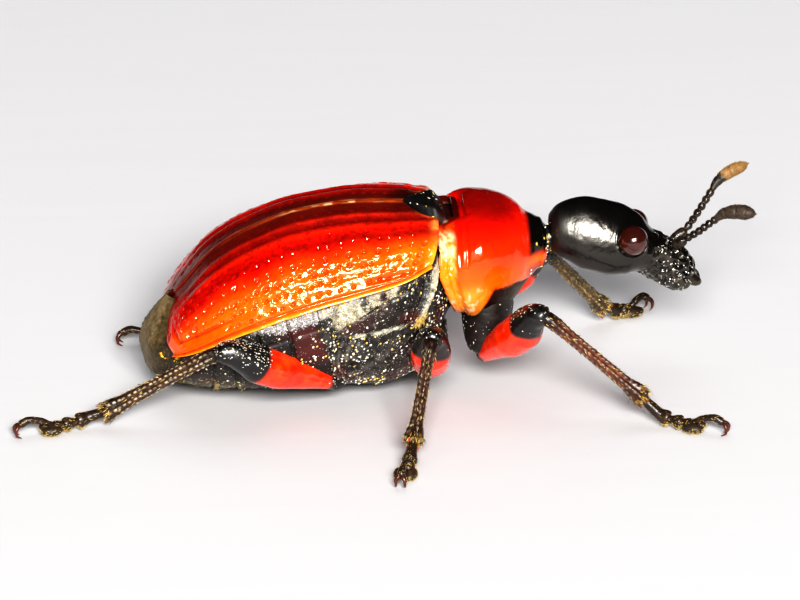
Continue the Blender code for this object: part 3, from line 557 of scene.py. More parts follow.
class Nodes:
    """The nodes of one new material. An input is given as a value or as another node's output."""

    def __init__(self, name):
        self.material = bpy.data.materials.new(name)
        self.material.use_nodes = True
        self.tree = self.material.node_tree

    def feed(self, node, inputs):
        for key, given in inputs.items():
            if isinstance(given, bpy.types.NodeSocket):
                self.tree.links.new(given, node.inputs[key])
            else:
                node.inputs[key].default_value = given

    def add(self, kind, output, inputs, **settings):
        """Adds a node of this kind and gives back its output of this name."""
        node = self.tree.nodes.new("ShaderNode" + kind)
        for key, value in settings.items():
            setattr(node, key, value)
        self.feed(node, inputs)
        return node.outputs[output]

    def shade(self, **inputs):
        """Feeds the shader, whose inputs are written with _ for each space."""
        shader = self.tree.nodes["Principled BSDF"]
        self.feed(shader, {key.replace("_", " "): given for key, given in inputs.items()})
        return self.material


def shell(name, grain=0.03, depth=0.4, mottle=0.2, rough_spread=0.1, coat_weight=0.0, coat_rough=0.08,
          specular=0.5, cells=0.0, cell_depth=0.0, shine_tint=(1.0, 1.0, 1.0)):
    """A shell whose colour and roughness come from its points, with fine grain, mottling and pits on top."""
    made = Nodes(name)
    place = made.add("TexCoord", "Object", {})
    paint = made.add("Attribute", "Color", {}, attribute_name="paint")
    shine = made.add("Attribute", "Fac", {}, attribute_name="shine")
    blotches, fine = (
        made.add("TexNoise", "Fac", {
            "Scale": 1 / (size * MM), "Detail": detail, "Roughness": 0.6, "Vector": place})
        for size, detail in ((grain * 6, 3.0), (grain, 2.0)))
    spread = made.add("MapRange", "Result", {
        "Value": blotches, "From Min": 0.3, "From Max": 0.7, "To Min": 1.0 - mottle, "To Max": 1.0 + mottle})
    colour = made.add("Mix", "Result", {"Factor": 1.0, "A": paint, "B": spread},
                      data_type="RGBA", blend_type="MULTIPLY")
    wear = made.add("Math", "Value", {0: fine, 1: rough_spread, 2: shine}, operation="MULTIPLY_ADD")
    lowered = made.add("Math", "Value", {0: wear, 1: rough_spread * 0.5}, operation="SUBTRACT")
    relief = made.add("Bump", "Normal", {"Strength": depth, "Distance": grain * MM * 0.25, "Height": fine})
    if cells:
        pits = made.add("TexVoronoi", "Distance", {"Scale": 1 / (cells * MM), "Vector": place})
        relief = made.add("Bump", "Normal", {
            "Strength": cell_depth, "Distance": cells * MM * 0.3, "Height": pits, "Normal": relief})
    return made.shade(Base_Color=colour, Roughness=lowered, Normal=relief, Specular_IOR_Level=specular,
                      Coat_Weight=coat_weight, Coat_Roughness=coat_rough, Specular_Tint=(*shine_tint, 1.0))


# Colours, as light
DARK_RED = (0.17, 0.002, 0.0008)
RED = (0.66, 0.006, 0.0008)
BRIGHT_RED = (0.90, 0.028, 0.0015)
ORANGE = (0.96, 0.16, 0.003)
YELLOW = (0.98, 0.40, 0.02)
BLACK = (0.0045, 0.0038, 0.0035)
SOOT = (0.022, 0.018, 0.015)
CREAM = (0.72, 0.66, 0.48)
GOLD = (0.75, 0.42, 0.06)
WAX = (0.52, 0.50, 0.49)
# Near black used for painted shade.
PAINTED_SHADE = (0.03, 0.003, 0.002)

BACK_KNOTS = chord_knots(BACK_LINE)


def shell_line(at, depth, edge_depth):
    """Back line and margin at these places, moved inwards by these depths."""
    at = np.atleast_1d(at)
    reach = 0.002
    back = through(BACK_KNOTS, BACK_LINE, at)
    margin = through(BACK_KNOTS, MARGIN_LINE, at)
    along = unit(through(BACK_KNOTS, BACK_LINE, at + reach) - through(BACK_KNOTS, BACK_LINE, at - reach))
    outline = through(BACK_KNOTS, MARGIN_LINE, at + reach) - through(BACK_KNOTS, MARGIN_LINE, at - reach)
    outline = unit(outline[:, :2])
    inward = np.stack([-along[:, 1], along[:, 0]], axis=1)
    margin_inward = np.stack([-outline[:, 1], outline[:, 0]], axis=1)
    back = back + inward * np.asarray(depth).reshape(-1, 1)
    margin[:, :2] += margin_inward * np.asarray(edge_depth).reshape(-1, 1)
    return back, margin


def shell_point(angle, back, margin):
    high = power(np.cos(angle), COVER_ROUNDNESS)
    wide = power(np.sin(angle), COVER_ROUNDNESS)
    x = margin[:, 0] + (back[:, 0] - margin[:, 0]) * high
    z = margin[:, 2] + (back[:, 1] - margin[:, 2]) * high
    return np.stack([x, margin[:, 1] * wide, z], axis=1)


def cover_depth(at):
    share = np.clip((np.asarray(at) - 0.55) / 0.45, 0.0, 1.0)
    return COVER_THICKNESS + (COVER_TIP_THICKNESS - COVER_THICKNESS) * share


def cover_span(angle):
    wide = math.sin(angle) ** (2 / COVER_ROUNDNESS)
    from_suture = wide * MARGIN_LINE[0][1] / NOTCH_WIDTH
    start = NOTCH_LENGTH * max(0.0, 1 - from_suture) ** NOTCH_POWER
    parting = max(0.0, 1 - wide / TIP_PARTING_WIDTH)
    return start, 1 - TIP_PARTING * parting ** 1.5


# The wing covers

COVER_ROWS = 400
COVER_COLUMNS = 171
COVER_ANGLES = np.linspace(0, 0.5 * math.pi, COVER_COLUMNS)
COVER_AT = np.linspace(0, 1, COVER_ROWS)
PIT_SPACING = 0.175
PIT_RADIUS = 0.050
LITTLE_SPACING = 0.105
LITTLE_RADIUS = 0.030
COVER_SEEDS = {"right": 11, "left": 23}
# How far the two hidden edge rows lie in from the back line and from the margin.
COVER_HEM = ((0.05, 0.05), (0.22, 0.15))


def cover_grid(side, depth, edge_depth, least):
    """The cover's points from base to tip and from suture to margin, moved inwards by these depths."""
    lines = []
    for angle in COVER_ANGLES:
        start, end = cover_span(angle)
        back, margin = shell_line(start + (end - start) * COVER_AT, np.full(COVER_ROWS, depth), edge_depth)
        lines.append(shell_point(angle, back, margin))
    points = np.stack(lines, axis=1)
    points[..., 1] = np.maximum(points[..., 1], least)
    return points * (1.0, SIDES[side], 1.0)


def walked(points, axis):
    """How far each point lies along its own line of the grid."""
    steps = np.cumsum(np.linalg.norm(np.diff(points, axis=axis), axis=2), axis=axis)
    return np.concatenate([np.zeros_like(np.take(steps, [0], axis)), steps], axis=axis)


def cover_relief(points, side):
    """What a cover's height and colour are made of: where each point lies and each form's strength there."""
    seed = COVER_SEEDS[side]
    order = COVER_ANGLES[None, :] / (0.5 * math.pi) * STRIAE + np.zeros((COVER_ROWS, 1))
    share = COVER_AT[:, None] + np.zeros((1, COVER_COLUMNS))
    far = walked(points, 0)
    pitch = np.gradient(walked(points, 1), axis=1) * (COVER_COLUMNS - 1) / STRIAE
    stria = np.clip(np.round(order), 1, STRIAE - 1).astype(int)
    across = (order - stria) * pitch
    turn = far / PIT_SPACING + scatter(stria, stria * 0, stria * 0, seed)
    cell = np.floor(turn).astype(int)
    jog, sway, grown, luck = (scatter(cell, stria, cell * 0 + k, seed) for k in range(4))
    size = (0.55 + 0.65 * grown) * (0.80 + 0.25 * step(3.5, 6.0, order))
    along = (turn - cell - 0.5 - (jog - 0.5) * 0.45) * PIT_SPACING
    reach = np.sqrt(along ** 2 + (across - (sway - 0.5) * 0.05) ** 2) / (PIT_RADIUS * size)
    ends = step(0.0, 0.05, share) * step(1.0, 0.93, share)
    outer = step(2.2, 5.6, order)
    wave = rough_noise(points, 0.28, seed)
    patchy = 0.55 + 0.45 * np.clip(noise(points, 0.5, seed + 2) + 0.5, 0, 1)
    band = step(8.30, 8.55, order)
    present = ends * (1 - band) * (luck > 0.22 - 0.20 * outer)
    fading = step(0.95, 0.72, share)
    edge = np.minimum((STRIAE - order) * pitch, (1 - share) * far[-1][None, :])
    rear = step(0.62, 0.80, share)
    inside = np.maximum(step(0.26, 0.32, edge), step(5.0, 2.5, order))
    pit = np.clip(1 - reach ** 2, 0, 1) ** 1.5 * (0.45 + 0.55 * outer) * present
    pit_rim = bump(1.22, 0.22, reach) * (0.3 + 0.7 * outer) * present
    groove = np.exp(-(across / 0.045) ** 2) * (0.55 + 0.30 * bump(2.5, 1.2, order)) * ends * (1 - band)
    little = dimples(points, LITTLE_SPACING, LITTLE_RADIUS, seed + 5, 0.35)
    little = little * ends * step(2.5, 4.5, order) * (1 - band)
    alternate = np.where(np.floor(order) % 2 == 0, 1.0, 0.45)
    return SimpleNamespace(
        order=order, share=share, ends=ends, outer=outer, wave=wave, band=band, fading=fading,
        ridge=np.cos((order % 1.0 - 0.5) * math.pi) ** 2 * (alternate * patchy),
        pit=pit * np.maximum(inside, 1 - rear), pit_rim=pit_rim * inside, little=little * inside,
        groove=groove * inside, shoulder=bump(0.10, 0.10, share) * bump(5.2, 1.1, order),
        dip=bump(0.15, 0.07, share) * bump(8.0, 0.50, order), rim=bump(9.0, 0.16, order),
        channel=bump(8.62, 0.13, order), suture=bump(0.0, 0.13, order),
        crest=(bump(1.50, 0.20, order) + bump(2.65, 0.30, order)) * fading,
        trough=(bump(0.80, 0.38, order) + bump(2.05, 0.26, order) + 0.8 * bump(3.6, 0.40, order)) * fading,
        base_roll=bump(0.010, 0.015, share) * step(1.0, 2.2, order) * step(8.6, 7.6, order),
        hem=bump(0.27, 0.035, edge) * rear * step(2.5, 5.0, order))


def lift_cover(skin, side, form):
    """Pits, ridges, the shoulder and the dip behind it, the rim and the fine grain."""
    points = skin.points
    seed = COVER_SEEDS[side]
    mostly_outer = 0.35 + 0.65 * form.outer
    skin.lift(0.0065 * form.ridge * form.ends * form.outer * (1 - form.band)
              - 0.008 * form.groove * mostly_outer - 0.038 * form.pit + 0.007 * form.pit_rim
              - 0.018 * form.little + 0.026 * form.shoulder - 0.045 * form.dip + 0.020 * form.rim
              - 0.020 * form.channel - 0.048 * bump(7.0, 1.6, form.order)
              + 0.012 * form.suture * form.fading + 0.014 * form.wave * form.outer
              + 0.02 * noise(points, 0.9, seed + 4) + 0.012 * form.crest * form.ends
              - 0.009 * form.trough * form.ends - 0.030 * form.hem
              + form.base_roll * (0.022 + 0.008 * noise(points, 0.06, seed + 14))
              + 0.0095 * rough_noise(points, 0.10, seed + 12) * mostly_outer * (1 - 0.7 * form.band))


def paint_cover(skin, points, side, form):
    """Dark red at the suture to orange at the margin: painted shade on top and painted light down the flank
    and at the front. The noises are read at the points before the lift.
    """
    seed = COVER_SEEDS[side]
    near = side == "right"
    order, share, wave = form.order, form.share, form.wave
    rearward = step(-0.8, -2.8, points[..., 0])
    tone = order / STRIAE + 0.07 * wave + 0.05 * noise(points, 0.6, seed + 6)
    # Painted shade and light: dark red along the top, then brighter red, then orange lower down the flank.
    skin.base(DARK_RED, RED, step(0.08, 0.36, tone))
    skin.tint(BRIGHT_RED, step(0.40, 0.62, tone))
    skin.tint(ORANGE, step(0.45, 0.80, tone + 0.04 * rearward) * 0.68)
    # Painted light: orange on the front of the flank.
    skin.tint(ORANGE, bump(6.0, 1.5, order) * step(0.40, 0.05, share) * 0.65)
    # Painted highlight: brighter red on the crests, weaker near the suture, with the far left cover dimmer
    # as painted shade.
    painted_crest_light = np.where(order < 1.9, 0.55, 0.65) * (1.0 if near else 0.4) * step(0.95, 0.75, share)
    skin.tint(BRIGHT_RED, form.crest * painted_crest_light * (0.7 + 0.3 * wave))
    # Painted shade in the troughs between the crests, less towards the rear.
    skin.tint((0.10, 0.001, 0.0005), np.clip(form.trough, 0, 1) * (0.60 + 0.25 * wave - 0.20 * rearward))
    # Painted shade in the groove along the rear edge.
    skin.tint(DARK_RED, form.hem * 0.6)
    grain = step(0.0, 0.5, rough_noise(points, 0.045, seed + 21))
    skin.tint((0.09, 0.001, 0.0005), 0.45 * grain * step(5.5, 3.2, order))
    # Painted shade along the top, beside the suture.
    skin.tint((0.13, 0.012, 0.004), 0.55 * step(1.5, 0.3, order))
    # Painted shade next to the shield, much deeper on the far left cover.
    near_shield = step(0.62, 0.38, np.abs(points[..., 1])) * step(0.05, 0.45, points[..., 0])
    skin.tint((0.012, 0.002, 0.001), near_shield * (0.35 if near else 0.85))
    # Painted shadow in the dip behind the shoulder.
    skin.tint(DARK_RED, 0.7 * form.dip * step(0.0, 0.5, wave + 0.6))
    base_line = 0.75 * bump(0.0, 0.02, share) * step(4, 7, order)
    skin.tint(YELLOW, np.clip(form.rim * 0.9 * form.ends + base_line, 0, 1))
    # Painted glints: orange flecks along the suture over its own orange, and pale sparkles beside it.
    painted_glint = step(-0.1, 0.5, noise(points, 0.22, seed + 8))
    skin.tint(ORANGE, bump(0.12, 0.10, order) * (0.25 + 0.55 * painted_glint) * step(0.8, 0.4, share))
    painted_sparks = step(0.0, 0.40, noise(points, 0.11, seed + 16)) * step(0.60, 0.30, share)
    painted_sparks = painted_sparks * step(0.05, 0.12, share)
    skin.tint((1.0, 0.62, 0.30), bump(0.12, 0.07, order) * painted_sparks * 0.8)
    # Painted reflection of the paper: pink along the rear edge.
    skin.tint((0.85, 0.30, 0.26), 0.5 * step(0.982, 0.996, share) * step(3.0, 5.0, order))
    # Painted shade in the grooves, pits and the channel by the margin.
    skin.tint(DARK_RED, 0.35 * form.groove * (1 - form.outer) + 0.30 * form.pit + 0.55 * form.channel
              + 0.2 * form.little)
    # The base roll's orange, with painted glints on it.
    skin.tint((0.98, 0.30, 0.06), form.base_roll * (0.25 + 0.65 * painted_glint))
    skin.gloss(0.11)
    skin.gloss(0.19, 0.3 + 0.5 * wave)
    skin.gloss(0.06, np.maximum(form.pit, form.little))
    skin.gloss(0.28, step(3.4, 1.4, order))


def wing_cover(side, material):
    """A wing cover: rows of pits between raised intervals, a smooth band and a rim along its margin."""
    points = cover_grid(side, 0.0, 0.0, 0.012)
    skin = Skin(points)
    form = cover_relief(points, side)
    lift_cover(skin, side, form)
    paint_cover(skin, points, side, form)
    whole = skin.points
    for around, (depth, edge_depth) in enumerate(COVER_HEM, 1):
        inner = cover_grid(side, depth, edge_depth, 0.02)
        grown = np.pad(inner, ((around, around), (around, around), (0, 0)), mode="edge")
        grown[1:-1, 1:-1] = whole
        whole = grown
    full = Skin(whole)
    full.paint = np.pad(skin.paint, ((2, 2), (2, 2), (0, 0)), mode="edge")
    full.shine = np.pad(skin.shine, 2, mode="edge")
    make(f"cover_{side}", [full], material, f"elytron_{side}")


# The trunk

def body_half(at, count):
    """Half a ring of the trunk: under the wing covers, out along their margin, and round the belly."""
    depth = cover_depth(at) + 0.02
    back, margin = shell_line(at, depth, COVER_EDGE + 0.01)
    upper = shell_point(np.linspace(0, 0.5 * math.pi, 12), back, margin)
    below_cover = np.array((0.0, 0.0, LIP_DROP))
    edge = shell_line(at, 0.0, LEDGE)[1][0] - below_cover
    keel = through(BACK_KNOTS, KEEL_LINE, at)[0]
    roundness = through(BACK_KNOTS, np.array(KEEL_ROUNDNESS)[:, None], at)[0, 0]
    turn = np.linspace(0, 0.5 * math.pi, 160)
    fall = power(np.sin(turn), roundness)
    wide = power(np.cos(turn), roundness)
    x = edge[0] + (keel[0] - edge[0]) * fall
    z = edge[2] + (keel[1] - edge[2]) * fall
    lower = np.stack([x, edge[1] * wide, z], axis=1)
    lower[-1, 1] = 0.0
    upper[:, 2] -= 0.01
    top = evened(np.concatenate([upper, lower[:1]]), 14)
    return np.concatenate([top[:-1], evened(lower, count - 13)])


def full_rings(halves, sides=(1.0, -1.0, 1.0)):
    """Whole rings from halves at +Y that run from the top centre to the bottom centre."""
    halves = np.asarray(halves)
    return np.concatenate([halves, halves[:, -2:0:-1] * sides], axis=1)


def oval_half(half_width, top, bottom, roundness, count):
    angle = np.linspace(0, math.pi, count)
    middle = 0.5 * (top + bottom)
    y = half_width * power(np.sin(angle), roundness)
    z = middle + 0.5 * (top - bottom) * power(np.cos(angle), roundness)
    y[[0, -1]] = 0.0
    return np.stack([np.zeros(count), y, z], axis=1)


def lip_height(x):
    """How high the ledge under the wing covers' margin lies."""
    margin = np.array(MARGIN_LINE)[::-1]
    return np.interp(x, margin[:, 0], margin[:, 2]) - LIP_DROP


def rear_edge(y, z):
    wide = np.clip((np.abs(y) - FLANGE_INNER[0]) / FLANGE_INNER[1], 0, 1)
    high = np.clip((z - FLANGE_LOWER[0]) / FLANGE_LOWER[1], 0, 1)
    return PRONOTUM[0][0] - FLANGE_REACH * wide * wide * (3 - 2 * wide) * high


TRUNK_COLUMNS = 110


def trunk_paint(skin):
    """Soot black, mottled, with faint red clouds."""
    p = skin.points
    cloud = rough_noise(p, 0.25, 3)
    skin.base(BLACK, SOOT, 0.5 + 0.8 * cloud)
    skin.tint((0.10, 0.015, 0.008), 0.35 * step(0.25, 0.7, noise(p, 0.5, 8)))
    skin.gloss(0.42 + 0.12 * noise(p, 0.15, 4))


def chest(material):
    """The underside of the thorax with its plates, the pale raised stripe and the folds of the hind hips."""
    count = TRUNK_COLUMNS
    first = body_half(0.0, count)
    plug = evened(oval_half(*PLUG, 2.0, 300), count)
    low = np.clip((2.40 - plug[:, 2]) / 1.10, 0, 1)
    front = plug.copy()
    front[:, 0] = PLUG_FRONT + 0.06 + 0.12 * low
    rear = plug.copy()
    rear[:, 0] = PLUG_REAR + 0.06 + 0.20 * low
    halves = [front, 0.5 * (front + rear), rear]
    halves += [rear * (1 - t) + first * t for t in (0.25, 0.5, 0.75)]
    halves += [body_half(at, count) for at in np.linspace(0.0, THORAX_END + 0.01, 150)]
    skin = Skin(full_rings(halves), wrap=True, capped=True)
    trunk_paint(skin)
    p = skin.points
    x, y, z = p[..., 0], np.abs(p[..., 1]), p[..., 2]
    lip = lip_height(x)
    side = step(0.55, 0.95, y) * step(0.02, -0.04, z - lip)
    sway = 0.03 * noise(p, 0.3, 7)
    plate_top = np.interp(x, (-0.80, -0.30, 0.20, 0.62), (1.70, 1.85, 2.06, 2.24)) + sway
    plate_low = np.interp(x, (-0.80, -0.60, -0.30, 0.20, 0.62), (1.45, 1.44, 1.61, 1.90, 2.14)) + sway
    along_plate = step(-0.74, -0.62, x + sway + 0.1 * (1.6 - z)) * step(0.55, 0.30, x)
    plate = step(plate_low - 0.03, plate_low + 0.04, z) * step(plate_top + 0.03, plate_top - 0.03, z)
    plate = plate * along_plate * side
    plate_edge = bump(plate_low - 0.01, 0.022, z) * along_plate * side
    stripe_x = np.interp(z, (1.40, 1.60, 1.84, 2.07, 2.36), (0.50, 0.585, 0.70, 0.765, 0.86))
    stripe_width = np.interp(z, (1.4, 1.9, 2.15, 2.36), (0.030, 0.038, 0.06, 0.085))
    tall = step(1.36, 1.46, z) * step(2.42, 2.36, z) * side
    stripe = np.clip(1.25 - ((x - stripe_x) / stripe_width) ** 2 * 0.5, 0, 1) * tall
    beside = (bump(stripe_x - 0.12, 0.035, x) + bump(stripe_x + 0.12, 0.03, x)) * step(1.3, 1.5, z) * side
    seam_z = np.interp(x, (-0.70, -0.36, 0.10, 0.41, 0.60), (1.36, 1.33, 1.41, 1.46, 1.50)) + 0.5 * sway
    seam = bump(seam_z, 0.020, z) * step(-0.74, -0.62, x) * step(0.62, 0.44, x) * side
    fold_zone = step(seam_z, seam_z - 0.12, z) * step(0.2, 0.5, z) * side
    bend = 0.10 * np.sin((z - 0.4) * 3.0)
    folds = (1.2 * bump(-0.64, 0.030, x + bend) + 0.8 * bump(-0.50, 0.025, x + bend * 1.6)
             + 0.7 * bump(-0.38, 0.022, x + bend * 2.2)
             + 0.4 * bump(-0.20, 0.03, x + bend * 2.4)) * fold_zone
    back_seam = bump(-0.70, 0.028, x + 0.5 * sway - 0.08 * (z - 1.5)) * step(1.25, 1.35, z) * side
    grain = rough_noise(p, 0.07, 12)
    lumps = noise(p, 0.16, 13)
    pits = dimples(p, 0.11, 0.040, 31, 0.2) * side * (1 - plate)
    skin.lift(0.030 * plate + 0.055 * stripe - 0.030 * beside - 0.035 * plate_edge - 0.030 * seam
              - 0.050 * folds - 0.05 * back_seam - 0.018 * pits + 0.012 * grain + 0.014 * lumps * side
              + 0.02 * noise(p, 0.35, 2) * side - 0.03 * bump(1.02, 0.04, x) * side)
    mottle = grain + 0.5 * noise(p, 0.13, 6)
    pale = plate * step(-0.35, 0.35, mottle + 0.5 * step(0.1, -0.6, x) - 0.1)
    # Painted reflection of the paper: greyer low on the flank.
    skin.tint((0.105, 0.095, 0.085), side * step(-0.35, 0.7, mottle) * 0.65 * step(1.7, 0.9, z))
    skin.tint((0.12, 0.008, 0.004), side * step(0.2, 0.7, noise(p, 0.3, 9)) * 0.4)
    between = (bump(-0.57, 0.022, x + bend * 1.3) + bump(-0.44, 0.02, x + bend * 1.9)
               + 0.8 * bump(-0.30, 0.03, x + bend * 2.3)) * fold_zone
    skin.tint((0.20, 0.18, 0.155), between * step(-0.5, 0.5, grain) * 0.7)
    skin.tint((0.45, 0.40, 0.27), pale * 0.9)
    skin.tint((0.80, 0.75, 0.58), pale * step(0.1, 0.7, grain + 0.2))
    skin.tint((0.62, 0.57, 0.42), step(0.5, 0.9, stripe) * step(-0.8, 0.3, grain))
    skin.tint(GOLD, stripe * step(1.60, 1.45, z) * 0.7)
    line = bump(seam_z - 0.035, 0.016, z) * side * step(-0.44, -0.34, x) * step(0.45, 0.2, x)
    skin.tint((0.70, 0.66, 0.50), line * step(-0.6, 0.2, grain) * 0.9)
    under = step(lip - 0.21, lip - 0.13, z) * step(0.0, -0.5, x) * side * (1 - plate)
    skin.tint(WAX, under * step(-0.5, 0.4, mottle) * 0.9)
    skin.gloss(0.75, under)
    skin.gloss(0.6, pale)
    # Painted shade on the top of the chest, under the front of the covers and the pronotum.
    top = step(2.2, 2.5, z) * step(0.3, 0.6, x)
    skin.tint(PAINTED_SHADE, top * 0.8)
    masks = {"side": side * (1 - step(0.4, 0.8, stripe)) * (1 - 0.8 * plate), "line": line, "stripe": stripe,
             "plate": np.maximum(pale, under * 0.8), "gold": stripe * step(1.62, 1.45, z)}
    make("chest", [skin], material, "metathorax")
    return skin, masks


def belly(material):
    """The abdomen with its plates and their seams."""
    stations = np.linspace(ABDOMEN_START - 0.004, ABDOMEN_END + 0.035, 190)
    halves = [body_half(at, TRUNK_COLUMNS) for at in stations]
    skin = Skin(full_rings(halves), wrap=True, capped=True)
    trunk_paint(skin)
    p = skin.points
    x, z = p[..., 0], p[..., 2]
    at = skin.by_row(stations)
    lip = lip_height(x)
    side = step(0.02, -0.04, z - lip)
    seams = sum(bump(joint, 0.006, at) for joint in VENTRITE_JOINTS) * step(0.0, 0.12, lip - z)
    lips = sum(bump(joint - 0.018, 0.010, at) for joint in VENTRITE_JOINTS) * step(0.0, 0.12, lip - z)
    grain = rough_noise(p, 0.07, 14)
    pits = dimples(p, 0.10, 0.03, 37, 0.3) * side
    fold = bump(lip - 0.32, 0.03, z)
    skin.lift(0.022 * lips - 0.035 * seams - 0.010 * pits + 0.007 * grain - 0.02 * fold * side)
    deep = 0.04 + 0.15 * step(-1.85, -1.35, x)
    under = step(lip - deep - 0.03, lip - deep + 0.03, z) * side * step(-1.95, -1.75, x)
    skin.tint(WAX, under * step(-0.5, 0.4, grain) * 0.9)
    skin.gloss(0.75, under)
    ruddy = step(1.9, 1.5, z) * step(0.8, 1.1, z) * step(-0.2, 0.4, noise(p, 0.35, 41))
    skin.tint((0.09, 0.007, 0.004), ruddy * 0.6)
    skin.tint((0.075, 0.066, 0.050), 0.6 * step(0.9, 0.4, z) * step(-1.9, -2.2, x))
    skin.gloss(0.5, 0.6 * (1 - under))
    masks = {"side": side, "under": under, "low": step(0.85, 0.4, z) * step(-1.7, -2.1, x)}
    make("belly", [skin], material, "abdomen")
    return skin, masks


# The shield between the wing covers, the rump, the front of the body and the head

def scutellum(material):
    rows, columns = 60, 49
    share = np.linspace(0, 1, rows)[:, None] + np.zeros((1, columns))
    across = np.linspace(-1, 1, columns)[None, :] + np.zeros((rows, 1))
    reach = NOTCH_LENGTH * route_length(np.array(BACK_LINE)) + 0.08
    half_width = (NOTCH_WIDTH + 0.01) * (1 - share ** (1 / NOTCH_POWER)) + 0.01
    x = 0.98 - reach * share
    y = across * half_width
    z = 2.80 + 0.045 * (1 - across ** 2) - 0.16 * step(0.72, 1.0, np.abs(across))
    z = z - 0.15 * step(0.30, 0.0, share) - 0.03 * step(0.9, 1.0, share)
    skin = Skin(np.stack([x, y, z], axis=2))
    p = skin.points
    pits = dimples(p, 0.10, 0.03, 5, 0.3)
    skin.lift(0.006 * rough_noise(p, 0.08, 3) - 0.012 * pits)
    skin.base(BLACK, (0.04, 0.006, 0.004), step(0.3, 0.0, share))
    skin.gloss(0.55)
    make("shield", [skin], material, "scutellum")
    return skin


def pygidium(material):
    end = body_half(ABDOMEN_END, TRUNK_COLUMNS)
    table = np.array(PYGIDIUM)
    levels = np.linspace(table[0, 0], table[-1, 0], 80)
    angle = np.linspace(0.5 * math.pi, -0.5 * math.pi, 91)
    rings = []
    weights = np.hanning(27)[1:-1]
    rows = np.pad(through(table[:, 0], table[:, 1:], levels), ((12, 12), (0, 0)), mode="edge")
    rows = np.stack([np.convolve(column, weights / weights.sum(), "valid") for column in rows.T], axis=1)
    for level, (rear, half_width) in zip(levels, rows):
        front = float(np.interp(level, end[::-1, 2], end[::-1, 0])) + 0.02
        ends = max(0.44 - level, 0.5 * (level - 1.30), 0.0) / 0.19
        rounding = math.sqrt(max(0.0, 1 - 0.8 * ends * ends))
        rear = front + (rear - front) * rounding
        half_width *= rounding
        x = front - (front - rear) * np.cos(angle) ** 0.8
        rings.append(np.stack([x, half_width * np.sin(angle), np.full(len(angle), level)], axis=1))
    skin = Skin(np.array(rings))
    p = skin.points
    grain = rough_noise(p, 0.06, 51)
    pits = dimples(p, 0.09, 0.028, 52, 0.2)
    keel = bump(0.0, 0.10, p[..., 1])
    skin.lift(0.010 * grain - 0.012 * pits + 0.02 * keel)
    skin.base((0.050, 0.034, 0.014), (0.13, 0.090, 0.035), 0.5 + 0.9 * grain)
    skin.tint((0.26, 0.19, 0.10), 0.6 * step(0.75, 0.95, np.cos(angle)[None, :] + 0.1 * grain))
    skin.tint((0.022, 0.015, 0.008), step(0.80, 0.40, np.cos(angle)[None, :] + 0.1 * grain) * 0.85)
    skin.gloss(0.5)
    make("rump", [skin], material, "pygidium")
    return skin


def shrunken(half, steps, along_too=True):
    """Smaller copies of a half ring from (size, shift along X) steps, to draw a skin's end in."""
    middle = 0.5 * (half[0] + half[-1])
    sizes = np.array([(size if along_too else 1.0, size, size) for size, shift in steps])
    shifts = [(shift, 0.0, 0.0) for size, shift in steps]
    return [middle + (half - middle) * size + shift for size, shift in zip(sizes, shifts)]


